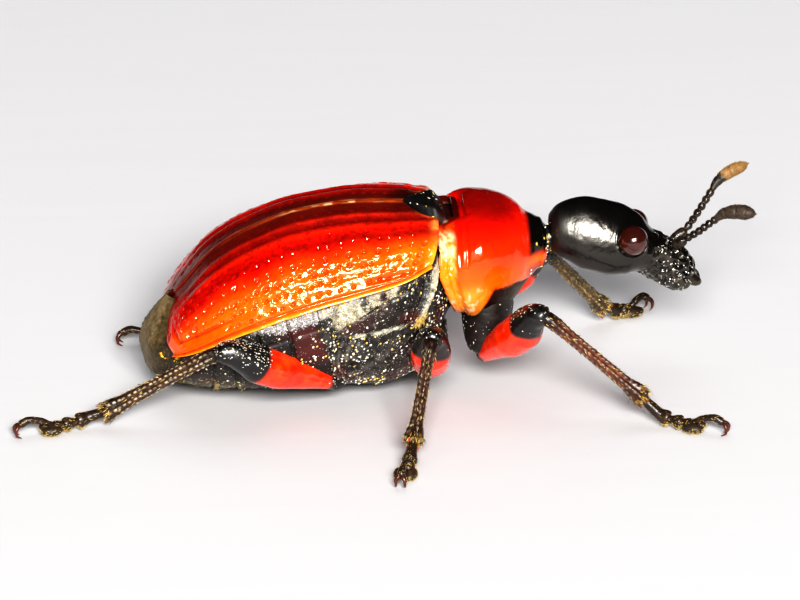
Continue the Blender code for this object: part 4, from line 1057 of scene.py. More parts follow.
def pronotum(material):
    """The flange, its two grooves, the bell and the collar."""
    count = 90
    table = np.array(PRONOTUM)
    nominal = np.concatenate([np.linspace(1.10, 1.62, 90), np.linspace(1.63, table[-1, 0], 90)])
    rings = []
    for x, half_width, top, bottom in zip(nominal, *through(table[:, 0], table[:, 1:], nominal).T):
        roundness = 2.1 + 0.3 * float(step(1.2, 1.4, x) * step(2.1, 1.8, x))
        half = evened(oval_half(half_width, top, bottom, roundness, 400), count)
        bell = float(step(1.3, 1.5, x) * step(2.2, 2.0, x))
        half[:, 1] *= 1 + 0.12 * bell * (2 * half[:, 2] - top - bottom) / (top - bottom)
        reach = PRONOTUM[0][0] - rear_edge(half[:, 1], half[:, 2])
        half[:, 0] = x - reach * max(0.0, 1 - (x - PRONOTUM[0][0]) / FLANGE_LENGTH)
        rings.append(half)
    before = shrunken(rings[0], ((0.90, 0.10), (0.955, 0.015), (0.985, -0.004)), along_too=False)
    after = shrunken(rings[-1], ((0.93, 0.012), (0.80, 0.015), (0.62, 0.0), (0.5, -0.06)), along_too=False)
    skin = Skin(full_rings(before + rings + after), wrap=True)
    s = skin.by_row(np.concatenate([np.full(3, 1.10), nominal, np.full(4, nominal[-1])]))
    p = skin.points
    x, y, z = p[..., 0], p[..., 1], p[..., 2]
    wide = np.abs(y)
    grain = rough_noise(p, 0.09, 61)
    cloud = noise(p, 0.45, 62)
    sparse = dimples(p, 0.16, 0.03, 63, 0.55)
    dense = dimples(p, 0.085, 0.034, 64, 0.15)
    flange = step(1.27, 1.22, s) * step(0.25, 0.5, wide) * step(1.75, 2.1, z)
    grooves = (bump(1.285, 0.016, s) + bump(1.355, 0.016, s)) * step(0.35, 0.6, wide)
    grooves = grooves * step(2.10, 2.3, z) * step(2.72, 2.6, z)
    constrict = bump(1.22, 0.035, s)
    wedge = step(1.95, 1.7, z) * step(1.60, 1.45, x) * step(1.12, 1.3, z)
    black_line = 1.78 - 0.10 * step(1.9, 2.2, x)
    low_front = step(black_line + 0.02, black_line - 0.03, z + 0.02 * grain) * step(
        0.02, 0.07, x - 1.36 - 0.48 * np.clip(z - 1.33, 0, 1))
    collar = step(2.10, 2.20, s)
    collar_ridge = bump(2.36, 0.03, s)
    skin.lift(-0.020 * grooves - 0.022 * constrict + 0.022 * bump(1.115, 0.022, s) + 0.018 * collar_ridge
              - 0.012 * sparse * step(1.4, 1.5, s) - 0.026 * dense * np.maximum(wedge, 0.9 * flange)
              + 0.026 * flange * noise(p, 0.08, 66) + 0.0045 * grain + 0.010 * cloud * (1 - flange)
              - 0.03 * bump(0.0, 0.03, z - black_line) * low_front)
    # Painted shade and light: dark red on top, brighter red and orange lower down the flank.
    middle = step(2.70, 2.35, z)
    skin.base(RED, BRIGHT_RED, middle)
    skin.tint(DARK_RED, 0.75 * step(2.60, 2.78, z + 0.05 * cloud))
    skin.tint(ORANGE, step(2.45, 1.75, z + 0.12 * cloud) * 0.70 * step(0.2, 0.6, wide))
    skin.tint(YELLOW, flange * step(2.60, 2.40, z) * 0.75)
    skin.tint(ORANGE, flange * step(2.66, 2.58, z) * 0.4)
    # Painted shade on the flange behind the constriction, on top and on the far side.
    behind = step(1.22, 1.16, s) * np.maximum(step(2.56, 2.64, z), y > 0.0)
    skin.tint(PAINTED_SHADE, behind * 0.92)
    skin.tint((0.85, 0.30, 0.03), wedge * step(0.4, 0.7, wide) * 0.8)
    skin.tint(CREAM, np.maximum(wedge, 0.5 * flange) * step(0.35, 0.6, noise(p, 0.06, 67)) * 0.5)
    pale = flange * step(2.60, 2.50, z) * step(2.20, 2.38, z)
    skin.tint((0.86, 0.74, 0.46), pale * step(-0.5, 0.3, rough_noise(p, 0.05, 68)) * 0.8)
    skin.tint(BLACK, low_front)
    skin.tint(BLACK, step(1.20, 1.08, z) * step(2.2, 1.9, x))
    skin.tint(BLACK, collar * step(2.02, 2.16, z))
    skin.tint(ORANGE, collar * step(2.10, 2.0, z) * step(1.92, 1.98, z) * 0.7)
    skin.tint((0.30, 0.02, 0.008), collar * step(1.95, 1.85, z) * 0.8)
    skin.gloss(0.10)
    skin.gloss(0.18, 0.4 * step(0.0, 0.6, grain))
    skin.gloss(0.42, low_front)
    skin.gloss(0.16, wedge)
    make("pronotum_shell", [skin], material, "pronotum")
    return skin


def neck(material):
    rings = []
    for x, z, radius in ((2.30, 2.06, 0.20), (2.40, 2.10, 0.215), (2.47, 2.14, 0.19), (2.53, 2.17, 0.20),
                         (2.58, 2.19, 0.21), (2.66, 2.22, 0.20)):
        half = oval_half(radius, z + radius, z - radius, 2.0, 30)
        half[:, 0] = x
        rings.append(half)
    rings = np.array(rings)
    knots = np.linspace(0, 1, len(rings))
    smooth = through(knots, rings.reshape(len(rings), -1), np.linspace(0, 1, 40)).reshape(40, -1, 3)
    skin = Skin(full_rings(smooth), wrap=True, capped=True)
    p = skin.points
    grain = rough_noise(p, 0.05, 71)
    skin.lift(0.010 * grain)
    skin.base(BLACK, (0.10, 0.04, 0.015), step(0.1, 0.6, grain))
    skin.tint(GOLD, step(0.35, 0.55, noise(p, 0.07, 72)) * step(2.18, 2.05, p[..., 2]) * 0.9)
    skin.gloss(0.45)
    make("neck_tube", [skin], material, "neck")
    return skin


def skull_rings(steps, count):
    table = np.array(HEAD[:-1] + ROSTRUM, float)
    knots = chord_knots(table[:, :2])
    at = np.linspace(0, 1, steps)
    halves = []
    for x, z, pitch, half_width, half_height in through(knots, table, at):
        half = evened(oval_half(half_width, half_height, -half_height, 2.1, 300), count)
        pear = HEAD_PEAR * step(3.95, 3.6, x) * step(2.5, 2.8, x)
        half[:, 1] *= 1 - pear * half[:, 2] / half_height
        half[:, 2] -= HEAD_SAG * half_height * (1 - (half[:, 2] / half_height) ** 2) * step(3.95, 3.6, x)
        tilt = math.radians(pitch)
        up = half[:, 2].copy()
        half[:, 0] = x + up * math.sin(tilt)
        half[:, 2] = z + up * math.cos(tilt)
        halves.append(half)
    return halves, at, knots


def skull(material):
    """The polished head and the coarse, pitted snout in one skin, and the jaws."""
    halves, at, knots = skull_rings(280, 70)
    inner = shrunken(halves[0], ((0.55, 0.10), (0.75, 0.03), (0.90, 0.006)))
    skin = Skin(full_rings(inner + halves), wrap=True, capped=True, colour=BLACK)
    place = skin.by_row(np.concatenate([np.zeros(3), at]))
    snout = step(knots[6] - 0.02, knots[6] + 0.05, place)
    p = skin.points
    grain = rough_noise(p, 0.10, 81)
    coarse = dimples(p, 0.115, 0.052, 82)
    to_eyes = [np.linalg.norm(p - np.array(EYE_CENTRES[side]), axis=2) for side in SIDES]
    ring = sum(bump(EYE_RADIUS + 0.030, 0.022, far) for far in to_eyes)
    ditch = sum(bump(EYE_RADIUS + 0.002, 0.016, far) for far in to_eyes)
    polished = (1 - snout) * step(0.06, 0.12, place)
    scattered = dimples(p, 0.13, 0.020, 83, 0.5) * polished
    brow = bump(4.13, 0.12, p[..., 0]) * step(1.86, 2.0, p[..., 2]) * step(0.03, 0.1, np.abs(p[..., 1]))
    skin.lift(-0.038 * coarse * snout + 0.014 * grain * snout - 0.004 * scattered + 0.014 * ring
              - 0.014 * ditch + 0.020 * brow + 0.016 * snout * noise(p, 0.06, 85)
              + 0.0030 * rough_noise(p, 0.058, 89) * polished)
    skin.tint((0.055, 0.045, 0.036), snout * step(-0.2, 0.6, grain) * 0.7)
    # Painted glints: pale flecks on the snout.
    skin.tint((0.25, 0.22, 0.17), snout * step(0.45, 0.75, noise(p, 0.05, 84)) * 0.6)
    lashes = ring * step(0.1, 0.5, noise(p, 0.045, 86)) * step(2.22, 2.10, p[..., 2])
    skin.tint((0.45, 0.40, 0.30), lashes * 0.8)
    skin.gloss(0.17)
    skin.gloss(0.25, step(0.30, 0.18, place))
    skin.gloss(0.45, step(0.12, 0.04, place))
    skin.gloss(0.16, snout)
    mouth = []
    for side, sign in SIDES.items():
        route = smooth_route(np.array(MANDIBLE) * (1.0, sign, 1.0), 40)
        length = route_length(route)
        share = np.linspace(0, 1, 24)
        radii = MANDIBLE_RADIUS * np.interp(share, (0, 0.3, 0.6, 0.85, 1), (1.0, 1.05, 0.9, 0.5, 0.06))
        jaw = tube(route, share * length, radii, LEVEL, 24, colour=(0.020, 0.012, 0.009), shine=0.22)
        jaw.lift(0.008 * rough_noise(jaw.points, 0.05, 88))
        mouth.append(jaw)
    make("skull", [skin, *mouth], material, "head", "rostrum")
    return skin, snout


def ball(centre, sizes, axes, rows=40, columns=48, **looks):
    turn = np.linspace(0.02, math.pi - 0.02, rows)[:, None]
    around = turns(columns)[None, :]
    unit_ball = np.stack([np.sin(turn) * np.cos(around), np.sin(turn) * np.sin(around),
                          np.cos(turn) + 0 * around], axis=2)
    points = np.array(centre) + unit_ball @ (np.array(axes, float) * np.array(sizes, float)[:, None])
    return Skin(points, wrap=True, capped=True, **looks)


def eye(side, material):
    axes = ((1, 0, 0), (0, 0, 1), (0, -1, 0))
    skin = ball(EYE_CENTRES[side], [EYE_RADIUS] * 3, axes, 90, 110, colour=(0.045, 0.009, 0.006), shine=0.12)
    p = skin.points
    skin.tint((0.11, 0.030, 0.018), 0.6 * step(0.10, -0.2, p[..., 2] - EYE_CENTRES[side][2]))
    skin.tint((0.02, 0.005, 0.004), 0.5 * noise(p, 0.12, 90))
    make(f"eye_{side}_lens", [skin], material, f"eye_{side}")


def antenna(side, material):
    """The scape, six beads and the pointed club."""
    route = smooth_route(np.array(ANTENNAE[side]))
    beads = [(SCAPE[0], SCAPE[1] * 1.05, 0)] + [(*FUNICLE, 1)] * FUNICLE_BEADS
    beads += [(length, radius, 2) for length, radius in zip(CLUB_BEADS, CLUB_RADII)]
    total = sum(bead[0] for bead in beads)
    scale = route_length(route) / total
    places, radii, kinds = [], [], []
    start = 0.0
    for n, (length, radius, kind) in enumerate(beads):
        share = np.linspace(0, 1, 15)[:-1]
        if kind == 1:
            profile = 0.58 + 0.44 * np.sin(math.pi * share ** 1.15) ** 0.8
        elif kind == 0:
            profile = 0.85 + 0.25 * np.sin(math.pi * share) - 0.35 * step(0.85, 1.0, share)
        else:
            before_club = SCAPE[0] + FUNICLE_BEADS * FUNICLE[0]
            in_club = (start + share * length - before_club) / sum(CLUB_BEADS)
            spindle = through(CLUB_SHARES, np.array(CLUB_PROFILE)[:, None], in_club)[:, 0]
            profile = spindle / radius * (1 - 0.10 * bump(0.0, 0.10, share) * (n > 7))
        places += (start + share * length).tolist()
        radii += (radius * profile).tolist()
        kinds += [kind] * len(share)
        start += length
    places = np.array(places) * scale
    places[-1] = route_length(route)
    radii = np.array(radii) * np.where(np.array(kinds) == 2, 0.86 if side == "left" else 1.0, 1.0)
    radii[-1] = 0.006
    skin = tube(route, places, radii, LEVEL, 28)
    p = skin.points
    kind = skin.by_row(kinds)
    far = skin.by_row(places / places[-1])
    grain = rough_noise(p, 0.03, 92)
    skin.lift(0.006 * grain)
    skin.base((0.010, 0.007, 0.005), (0.040, 0.026, 0.016), 0.5 + grain)
    if side == "left":
        skin.tint((0.30, 0.155, 0.050), step(0.71, 0.735, far + 0.02 * grain) * 0.9)
    else:
        skin.tint((0.060, 0.040, 0.028), (kind == 2) * 0.6)
    skin.gloss(0.24)
    skin.gloss(0.50, kind == 2)
    make(f"feeler_{side}", [skin], material, f"antenna_{side}")
    return skin


# The legs

def pair_of(leg):
    return leg.split("_")[0]


def leg_route(leg):
    return rounded_route(LEGS[leg][1:4], KNEE_ROUNDING)


def leg_side(leg):
    hip, knee, ankle = (np.array(p) for p in LEGS[leg][1:4])
    return unit(np.cross(ankle - knee, knee - hip))


def leg_lengths(leg):
    hip, knee = (np.array(p) for p in LEGS[leg][1:3])
    thigh = float(np.linalg.norm(knee - hip)) + KNEE_PARTING - 0.5 * KNEE_ROUNDING
    return thigh, route_length(leg_route(leg))


def foot_frame(leg):
    ankle = np.array(LEGS[leg][3])
    away = np.array(LEGS[leg][4]) - ankle[:2]
    reach = float(np.linalg.norm(away))
    return ankle, np.array((*(away / reach), 0.0)), reach


def foot_point(leg, share, height, shift=0.0):
    ankle, ahead, reach = foot_frame(leg)
    sideways = np.cross((0.0, 0.0, 1.0), ahead)
    return np.array((ankle[0], ankle[1], height)) + ahead * share * reach + sideways * shift


def coxa(leg, material):
    root, tip = (np.array(p) for p in LEGS[leg][:2])
    table = np.array(COXA_RADII[pair_of(leg)])
    route = np.array([root, tip])
    tip_share = 0.9 + 0.1 * np.sin(np.linspace(0.1, 0.5 * math.pi, 14))
    share = np.concatenate([np.linspace(0, 0.9, 50), tip_share])
    radii = through(table[:, 0], table[:, 1:], share)[:, 0]
    radii[-14:] *= np.cos(np.linspace(0.1, 0.5 * math.pi - 0.05, 14)) ** 0.5
    skin = tube(route, share * route_length(route), radii, np.array((1.0, 0.0, 0.1)), 60)
    p = skin.points
    grain = rough_noise(p, 0.08, 101)
    pits = dimples(p, 0.11, 0.032, 102, 0.3)
    skin.lift(0.008 * grain - 0.012 * pits)
    skin.base(BLACK, SOOT, 0.5 + 0.7 * grain)
    skin.gloss(0.40 + 0.1 * grain)
    make(f"hip_{leg}", [skin], material, f"leg_{leg}_coxa")
    return skin


# Where each thigh turns from red to black: the share of its length, and how far the edge slants.
THIGH_EDGE = {"front": (0.74, 0.03), "middle": (0.68, 0.08), "hind": (0.645, 0.02)}
THIGH_COLUMNS = 72


def femur(leg, material):
    end = leg_lengths(leg)[0]
    table = np.array(FEMUR)
    share = np.concatenate([[-0.02], np.linspace(0, 1, 110), [1.03]])
    rows = through(table[:, 0], table[:, 1:], np.clip(share, 0, 1))
    rows[[0, -1], 0] *= (0.4, 0.6)
    skin = tube(leg_route(leg), share * end, rows[:, 0], leg_side(leg), THIGH_COLUMNS, rows[:, 1])
    p = skin.points
    s = skin.by_row(share)
    inner = np.sin(turns(THIGH_COLUMNS))[None, :]
    grain = rough_noise(p, 0.10, 111)
    pits = dimples(p, 0.12, 0.026, 112, 0.4)
    edge, slant = THIGH_EDGE[pair_of(leg)]
    dark = np.maximum(step(edge - 0.03, edge + 0.03, s - slant * inner + 0.04 * noise(p, 0.2, 113)),
                      step(0.07, 0.02, s + 0.02 * grain))
    skin.lift(0.006 * grain - 0.008 * pits)
    skin.base((0.80, 0.020, 0.002), (0.92, 0.060, 0.006), 0.5 + grain)
    skin.tint((0.25, 0.008, 0.004), 0.4 * step(0.3, 0.8, noise(p, 0.3, 114)))
    skin.tint(BLACK, dark)
    skin.tint(SOOT, dark * step(0.1, 0.7, grain) * 0.8)
    skin.gloss(0.15)
    skin.gloss(0.36, dark)
    make(f"thigh_{leg}", [skin], material, f"leg_{leg}_femur")
    return skin, dark


# The colours of each shin, dark and light, how pale its beads are, and how slim it is.
SHINS = {
    "front_left": ((0.075, 0.045, 0.013), (0.21, 0.125, 0.028), 0.40, 0.86),
    "front": ((0.060, 0.020, 0.012), (0.17, 0.050, 0.022), 0.36, 0.82),
    "middle": ((0.030, 0.014, 0.009), (0.085, 0.034, 0.020), 0.32, 0.78),
    "hind": ((0.035, 0.018, 0.010), (0.100, 0.045, 0.022), 0.95, 0.92),
}


SHIN_COLUMNS = 56
SHIN_RIDGES = 7
BEAD_SPACING = 0.085
SPUR_RADII = 0.026 * np.array((1.0, 1.0, 0.95, 0.85, 0.72, 0.58, 0.42, 0.25, 0.06))


def tibia(leg, material):
    """The shin: ridged along its length, set with small bumps, flared at its end with short spurs."""
    start, end = leg_lengths(leg)
    start -= 0.05
    share = np.linspace(0, 1, 200)
    table = np.array(TIBIA)
    radii = through(table[:, 0], table[:, 1:], share)[:, 0]
    base, light, beading, slim = SHINS.get(leg, SHINS[pair_of(leg)])
    slimmer = 1 - (1 - slim) * step(0.05, 0.25, share) * step(0.97, 0.80, share)
    radii = radii * slimmer * (1 - 0.55 * step(0.975, 1.0, share))
    side = leg_side(leg)
    skin = tube(leg_route(leg), start + share * (end + 0.02 - start), radii, side, SHIN_COLUMNS)
    p = skin.points
    s = skin.by_row(share)
    turn = turns(SHIN_COLUMNS)[None, :] + 0 * s
    ridges = np.cos(turn * SHIN_RIDGES)
    row = np.floor(turn / (2 * math.pi) * SHIN_RIDGES + 0.5).astype(int) % SHIN_RIDGES
    turned = s * (end - start) / BEAD_SPACING + row * 0.37
    bead = np.floor(turned).astype(int)
    luck = scatter(bead, row, row * 0, 125)
    beads = np.clip(1 - ((turned - bead - 0.5 + (luck - 0.5) * 0.4) / 0.36) ** 2, 0, 1) * (0.3 + 0.7 * luck)
    grain = rough_noise(p, 0.05, 121)
    on_ridge = step(0.4, 0.9, ridges) * beads * step(0.06, 0.12, s) * step(0.97, 0.9, s)
    flare = step(0.90, 0.97, s)
    skin.lift(0.007 * ridges * step(0.05, 0.15, s) + 0.012 * on_ridge + 0.005 * grain)
    skin.base(base, light, 0.35 + 0.8 * grain)
    skin.tint(BLACK, step(0.24, 0.05, s) * 0.85 + step(0.72, 0.86, s) * 0.55)
    skin.tint((0.66, 0.58, 0.44), on_ridge * beading)
    skin.tint((0.45, 0.26, 0.05), flare * step(0.0, 0.6, noise(p, 0.05, 126)) * 0.7)
    skin.gloss(0.30)
    parts = [skin]
    points, along = walk(leg_route(leg), [end - 0.03])
    under = np.cross(along[0], side)
    for turn_by, length in ((0.6, 0.13), (-0.6, 0.13), (2.6, 0.09)):
        out = unit(math.cos(turn_by) * under + math.sin(turn_by) * side)
        base_point = points[0] + out * 0.095
        tip = base_point + along[0] * length + out * 0.045
        route = np.array([base_point - along[0] * 0.03, 0.5 * (base_point + tip) + out * 0.012, tip])
        parts.append(tube(smooth_route(route, 12), np.linspace(0, 1, 9) * route_length(route),
                          SPUR_RADII, side + 0.01, 10, colour=(0.40, 0.06, 0.015), shine=0.25))
    make(f"shin_{leg}", parts, material, f"leg_{leg}_tibia")
    return skin


def foot_part(leg, table, shift, count, **looks):
    """A tube along the foot from (share, height, radius) knots, shifted sideways from its second knot."""
    sideways = np.cross((0.0, 0.0, 1.0), foot_frame(leg)[1])
    apart = np.clip(np.arange(len(table)), 0, 2) / 2
    points = np.array([foot_point(leg, *row[:2], shift * a) for row, a in zip(table, apart)])
    knots = chord_knots(points)
    share = np.linspace(0, 1, 12 * (len(table) - 1) + 1)
    route = through(knots, points, share)
    radii = through(knots, np.array(table)[:, 2:], share)[:, 0]
    places = chord_knots(route) * route_length(route)
    return tube(route, places, radii, sideways, count, **looks)


# Along the foot from ankle to claw tips: share of its length, height and radius.
FOOT_JOINTS = (
    ((0.29, 0.165, 0.050), (0.36, 0.145, 0.062), (0.47, 0.125, 0.104), (0.50, 0.115, 0.090)),
    ((0.46, 0.125, 0.050), (0.53, 0.115, 0.070), (0.60, 0.105, 0.090), (0.64, 0.10, 0.06)),
)
CLAW_JOINT = ((0.58, 0.12, 0.035), (0.66, 0.150, 0.042), (0.78, 0.22, 0.050), (0.92, 0.255, 0.052),
              (1.02, 0.205, 0.058), (1.04, 0.190, 0.040))
CLAW = ((0.99, 0.205, 0.028), (1.06, 0.185, 0.033), (1.095, 0.125, 0.026), (1.085, 0.06, 0.017),
        (1.03, 0.018, 0.005))
FOOT_LEAST_HEIGHT = 0.004


def foot(leg, material):
    """Two flaring joints, a joint with two soft lobes, the claw joint and its two claws."""
    ankle, ahead = foot_frame(leg)[:2]
    second = min(0.240, 0.5 * (ankle[2] + 0.155) + 0.02)
    low = float(ankle[2])
    brown = {"colour": (0.026, 0.015, 0.009), "shine": 0.30}
    first = ((-0.02, low + 0.01, 0.060), (0.08, 0.5 * (low + second), 0.075), (0.20, second - 0.02, 0.085),
             (0.31, 0.160, 0.112), (0.335, 0.150, 0.095))
    joints = [foot_part(leg, table, 0.0, 30, **brown) for table in (first, *FOOT_JOINTS)]
    joints.append(foot_part(leg, CLAW_JOINT, 0.0, 24, **brown))
    sideways = np.cross((0.0, 0.0, 1.0), ahead)
    pads = [ball(foot_point(leg, 0.66, 0.085, shift), (0.155, 0.090, 0.072), (ahead, sideways, (0, 0, 1)),
                 40, 40, colour=(0.030, 0.018, 0.010), shine=0.5) for shift in (LOBE_SPREAD, -LOBE_SPREAD)]
    claws = []
    for shift in (CLAW_SPREAD, -CLAW_SPREAD):
        claw = foot_part(leg, CLAW, shift, 18, colour=(0.045, 0.018, 0.010), shine=0.22)
        claw.tint((0.17, 0.032, 0.012), claw.by_row(np.linspace(0, 1, len(claw.points)) ** 1.5))
        claws.append(claw)
    for part in joints + pads:
        p = part.points
        grain = rough_noise(p, 0.05, 131)
        part.lift(0.006 * grain)
        part.tint((0.11, 0.055, 0.020), step(0.0, 0.8, grain) * 0.6)
        part.tint((0.40, 0.22, 0.05), step(0.055, 0.015, p[..., 2]) * 0.6)
    for part in joints + pads + claws:
        part.points[..., 2] = np.maximum(part.points[..., 2], FOOT_LEAST_HEIGHT)
    make(f"foot_{leg}", joints + pads + claws, material, f"leg_{leg}_tarsus")
    return joints + pads


# The camera, the light and the paper

FLASH_WHITE = (1.0, 0.985, 0.965)
FLASH_SIZE = (52.0, 40.0)
FLASH_WATTS = 0.305
LAMP_AIM = (0.0, 0.0, 1.2)
# Each lamp: name, way to it, distance, size, watts, colour, and whether it shows in reflections.
LAMPS = (
    ("key", (0.0, -0.92, 0.36), 200.0, (170.0, 90.0), 0.05, FLASH_WHITE, True),
    ("flash_left", (0.13, -0.85, 0.50), 200.0, FLASH_SIZE, FLASH_WATTS, FLASH_WHITE, True),
    ("flash_right", (-0.08, -0.85, 0.50), 200.0, FLASH_SIZE, FLASH_WATTS, FLASH_WHITE, True),
    ("top_fill", (0.1, 0.30, 0.95), 220.0, (220.0, 220.0), 0.14, (0.97, 0.98, 1.0), False),
    ("back_fill", (-0.2, 0.95, 0.40), 220.0, (200.0, 200.0), 0.06, (1.0, 1.0, 1.0), False),
)
SENSOR = 36.0
PAPER_REACH = 300.0
PAPER_COLOUR = (0.630, 0.626, 0.636, 1.0)
FIBRE = 0.5
FIBRE_STRETCH = (0.12, 1.0, 1.0)
ROOM_COLOUR = (0.95, 0.97, 1.0, 1.0)
ROOM_STRENGTH = 0.012


def look(made, target, towards, far):
    """Puts it this far from the target, on the side that `towards` names, and turns it to the target."""
    target = np.array(target)
    at = Vector((target + unit(np.array(towards, float)) * far) * MM)
    back = (at - Vector(target * MM)).normalized()
    made.matrix_world = Matrix.Translation(at) @ back.to_track_quat("Z", "Y").to_matrix().to_4x4()


def camera():
    made = placed("camera", bpy.data.cameras.new("camera"))
    made.data.sensor_width = SENSOR
    made.data.lens = SENSOR * CAMERA_FAR / VIEW_WIDTH
    made.data.clip_start = 0.001
    made.data.clip_end = 10.0
    look(made, AIM, BACK, CAMERA_FAR)
    bpy.context.scene.camera = made


def lamps():
    for name, towards, far, size, watts, colour, glossy in LAMPS:
        data = bpy.data.lights.new(name, "AREA")
        data.shape = "RECTANGLE"
        data.size, data.size_y = (length * MM for length in size)
        data.energy = watts
        data.color = colour
        lamp = placed(name, data)
        look(lamp, LAMP_AIM, towards, far)
        lamp.visible_camera = False
        lamp.visible_glossy = glossy


def room():
    world = bpy.data.worlds.new("room")
    bpy.context.scene.world = world
    world.use_nodes = True
    background = world.node_tree.nodes["Background"]
    background.inputs["Color"].default_value = ROOM_COLOUR
    background.inputs["Strength"].default_value = ROOM_STRENGTH
    bpy.context.scene.view_settings.view_transform = "Standard"
    bpy.context.scene.view_settings.look = "High Contrast"


def paper():
    """The white paper that the animal stands on, with faint fibres."""
    reach = PAPER_REACH * MM
    data = bpy.data.meshes.new("paper")
    corners = [(-reach, -reach, 0), (reach, -reach, 0), (reach, reach, 0), (-reach, reach, 0)]
    data.from_pydata(corners, [], [(0, 1, 2, 3)])
    sheet = placed("paper", data)
    made = Nodes("paper")
    place = made.add("TexCoord", "Object", {})
    drawn_out = made.add("VectorMath", "Vector", {0: place, 1: FIBRE_STRETCH}, operation="MULTIPLY")
    fibres = made.add("TexNoise", "Fac", {"Scale": 1 / (FIBRE * MM), "Detail": 6.0, "Vector": drawn_out})
    relief = made.add("Bump", "Normal", {"Strength": 0.12, "Distance": 0.05 * MM, "Height": fibres})
    data.materials.append(made.shade(Base_Color=PAPER_COLOUR, Roughness=0.9, Specular_IOR_Level=0.1,
                                     Normal=relief))


camera()
lamps()
room()
paper()

WARM_SHINE = (1.0, 0.74, 0.52)
cover_material, red_material = (
    shell(name, depth=0.20, mottle=mottle, rough_spread=0.06, specular=1.0, shine_tint=WARM_SHINE)
    for name, mottle in (("cover_shell", 0.22), ("red_shell", 0.16)))
thigh_material = shell("thigh_shell", depth=0.18, mottle=0.16, coat_weight=0.25, coat_rough=0.12,
                       specular=0.7)
trunk_material = shell("trunk_shell", grain=0.025, depth=0.8, mottle=0.35, specular=0.55)
polished_material = shell("polished_shell", grain=0.022, depth=0.30, rough_spread=0.08, specular=1.0,
                          shine_tint=(1.0, 0.95, 0.86))
eye_material = shell("eye_lens", grain=0.02, depth=0.1, coat_weight=1.0, coat_rough=0.06, cells=0.022,
                     cell_depth=0.25)
feeler_material = shell("feeler_shell", grain=0.015, depth=0.8, mottle=0.35)
leg_material = shell("leg_shell", grain=0.02, depth=0.6, mottle=0.3)
rump_material = shell("rump_shell", grain=0.02, depth=0.8, mottle=0.3)
hair_material = shell("hair_shell", grain=0.02, depth=0.2, specular=0.6)

SCALE_COLOURS = ((0.93, 0.92, 0.86), (0.90, 0.84, 0.64), (0.70, 0.66, 0.50), (0.85, 0.62, 0.14))
GOLD_COLOURS = ((0.80, 0.56, 0.14), (0.60, 0.38, 0.08), (0.86, 0.70, 0.32))
DUST_COLOURS = ((0.50, 0.47, 0.40), (0.30, 0.28, 0.24))
FEELER_COLOURS = {
    "left": ((0.50, 0.34, 0.14), (0.35, 0.22, 0.08)),
    "right": ((0.16, 0.11, 0.07), (0.09, 0.06, 0.04)),
}


def varied(limits, count, seed):
    return np.random.default_rng(seed).uniform(*limits, count)


def fur(name, patches, colours, lengths, widths, seed, rise=0.3, flat=0.5, belly=0.9, away=None):
    """A coat over (skin, count, chance) patches, each hair laid along its skin's rows or `away`."""
    places = [roots(skin, count, chance, seed + n) for n, (skin, count, chance) in enumerate(patches)]
    place = {key: np.concatenate([one[key] for one in places]) for key in places[0]}
    count = len(place["point"])
    lay = place["along"] if away is None else np.broadcast_to(np.array(away, float), (count, 3))
    stray = np.random.default_rng(seed + 50).normal(0, 0.25, (count, 3))
    lengths = varied(lengths, count, seed + 51)
    widths = varied(widths, count, seed + 52)
    picked = np.random.default_rng(seed + 53).choice(len(colours), count)
    rise = varied((rise * 0.5, rise * 1.5), count, seed + 54)
    coat(name, place, lay + stray, lengths, widths, rise, np.array(colours)[picked], flat, belly)


for side in SIDES:
    wing_cover(side, cover_material)
    eye(side, eye_material)
    feeler = antenna(side, feeler_material)
    everywhere = feeler.everywhere()
    club = everywhere * (np.linspace(0, 1, len(everywhere))[:, None] > (0.74 if side == "left" else 0.60))
    fur(f"feeler_hairs_{side}", [(feeler, 700, club), (feeler, 90, everywhere)], FEELER_COLOURS[side],
        (0.025, 0.045), (0.006, 0.010), 201, rise=0.5)

chest_skin, chest_masks = chest(trunk_material)
belly_skin, belly_masks = belly(trunk_material)
shield_skin = scutellum(trunk_material)
rump_skin = pygidium(rump_material)
shell_skin = pronotum(red_material)
neck_skin = neck(trunk_material)
skull_skin, snout_zone = skull(polished_material)
fur("snout_scales", [(skull_skin, 240, snout_zone)], ((0.80, 0.78, 0.70), (0.50, 0.47, 0.38)),
    (0.025, 0.045), (0.012, 0.024), 395, flat=0.6, belly=1.1)

# Pale dots on the flanks: scales, some of them standing in as painted glints of the punctures.
clump = step(-0.2, 0.5, noise(chest_skin.points, 0.25, 301))
fur("chest_dots", [(chest_skin, 800, chest_masks["side"] * (0.15 + clump))], SCALE_COLOURS, (0.035, 0.060),
    (0.018, 0.040), 310, rise=0.35, flat=0.7, belly=1.25)
fur("chest_dust", [(chest_skin, 3200, chest_masks["side"])], DUST_COLOURS, (0.018, 0.034), (0.010, 0.018),
    315, rise=0.25, flat=0.6)
fur("chest_scales", [(chest_skin, 2600, chest_masks["plate"]), (chest_skin, 260, chest_masks["line"]),
                     (chest_skin, 500, chest_masks["stripe"])],
    ((0.84, 0.80, 0.66), (0.66, 0.60, 0.44), (0.42, 0.38, 0.26)), (0.030, 0.055), (0.010, 0.018),
    320, flat=0.4)
# Two bright pale dots low on the chest: painted glints made as solid dots.
low_spot = bump(-0.27, 0.03, chest_skin.points[..., 0]) * bump(0.35, 0.03, chest_skin.points[..., 2])
fur("chest_painted_glints", [(chest_skin, 1, low_spot * (chest_skin.points[..., 1] < 0)),
                     (chest_skin, 1, low_spot * (chest_skin.points[..., 1] > 0))],
    ((0.95, 0.94, 0.86),), (0.06, 0.07), (0.075, 0.085), 325, rise=0.4, flat=0.7, belly=1.2)
fur("stripe_hairs", [(chest_skin, 160, chest_masks["gold"])], GOLD_COLOURS, (0.08, 0.13), (0.010, 0.016),
    330, rise=0.8, away=(-0.3, 0.0, -1.0))
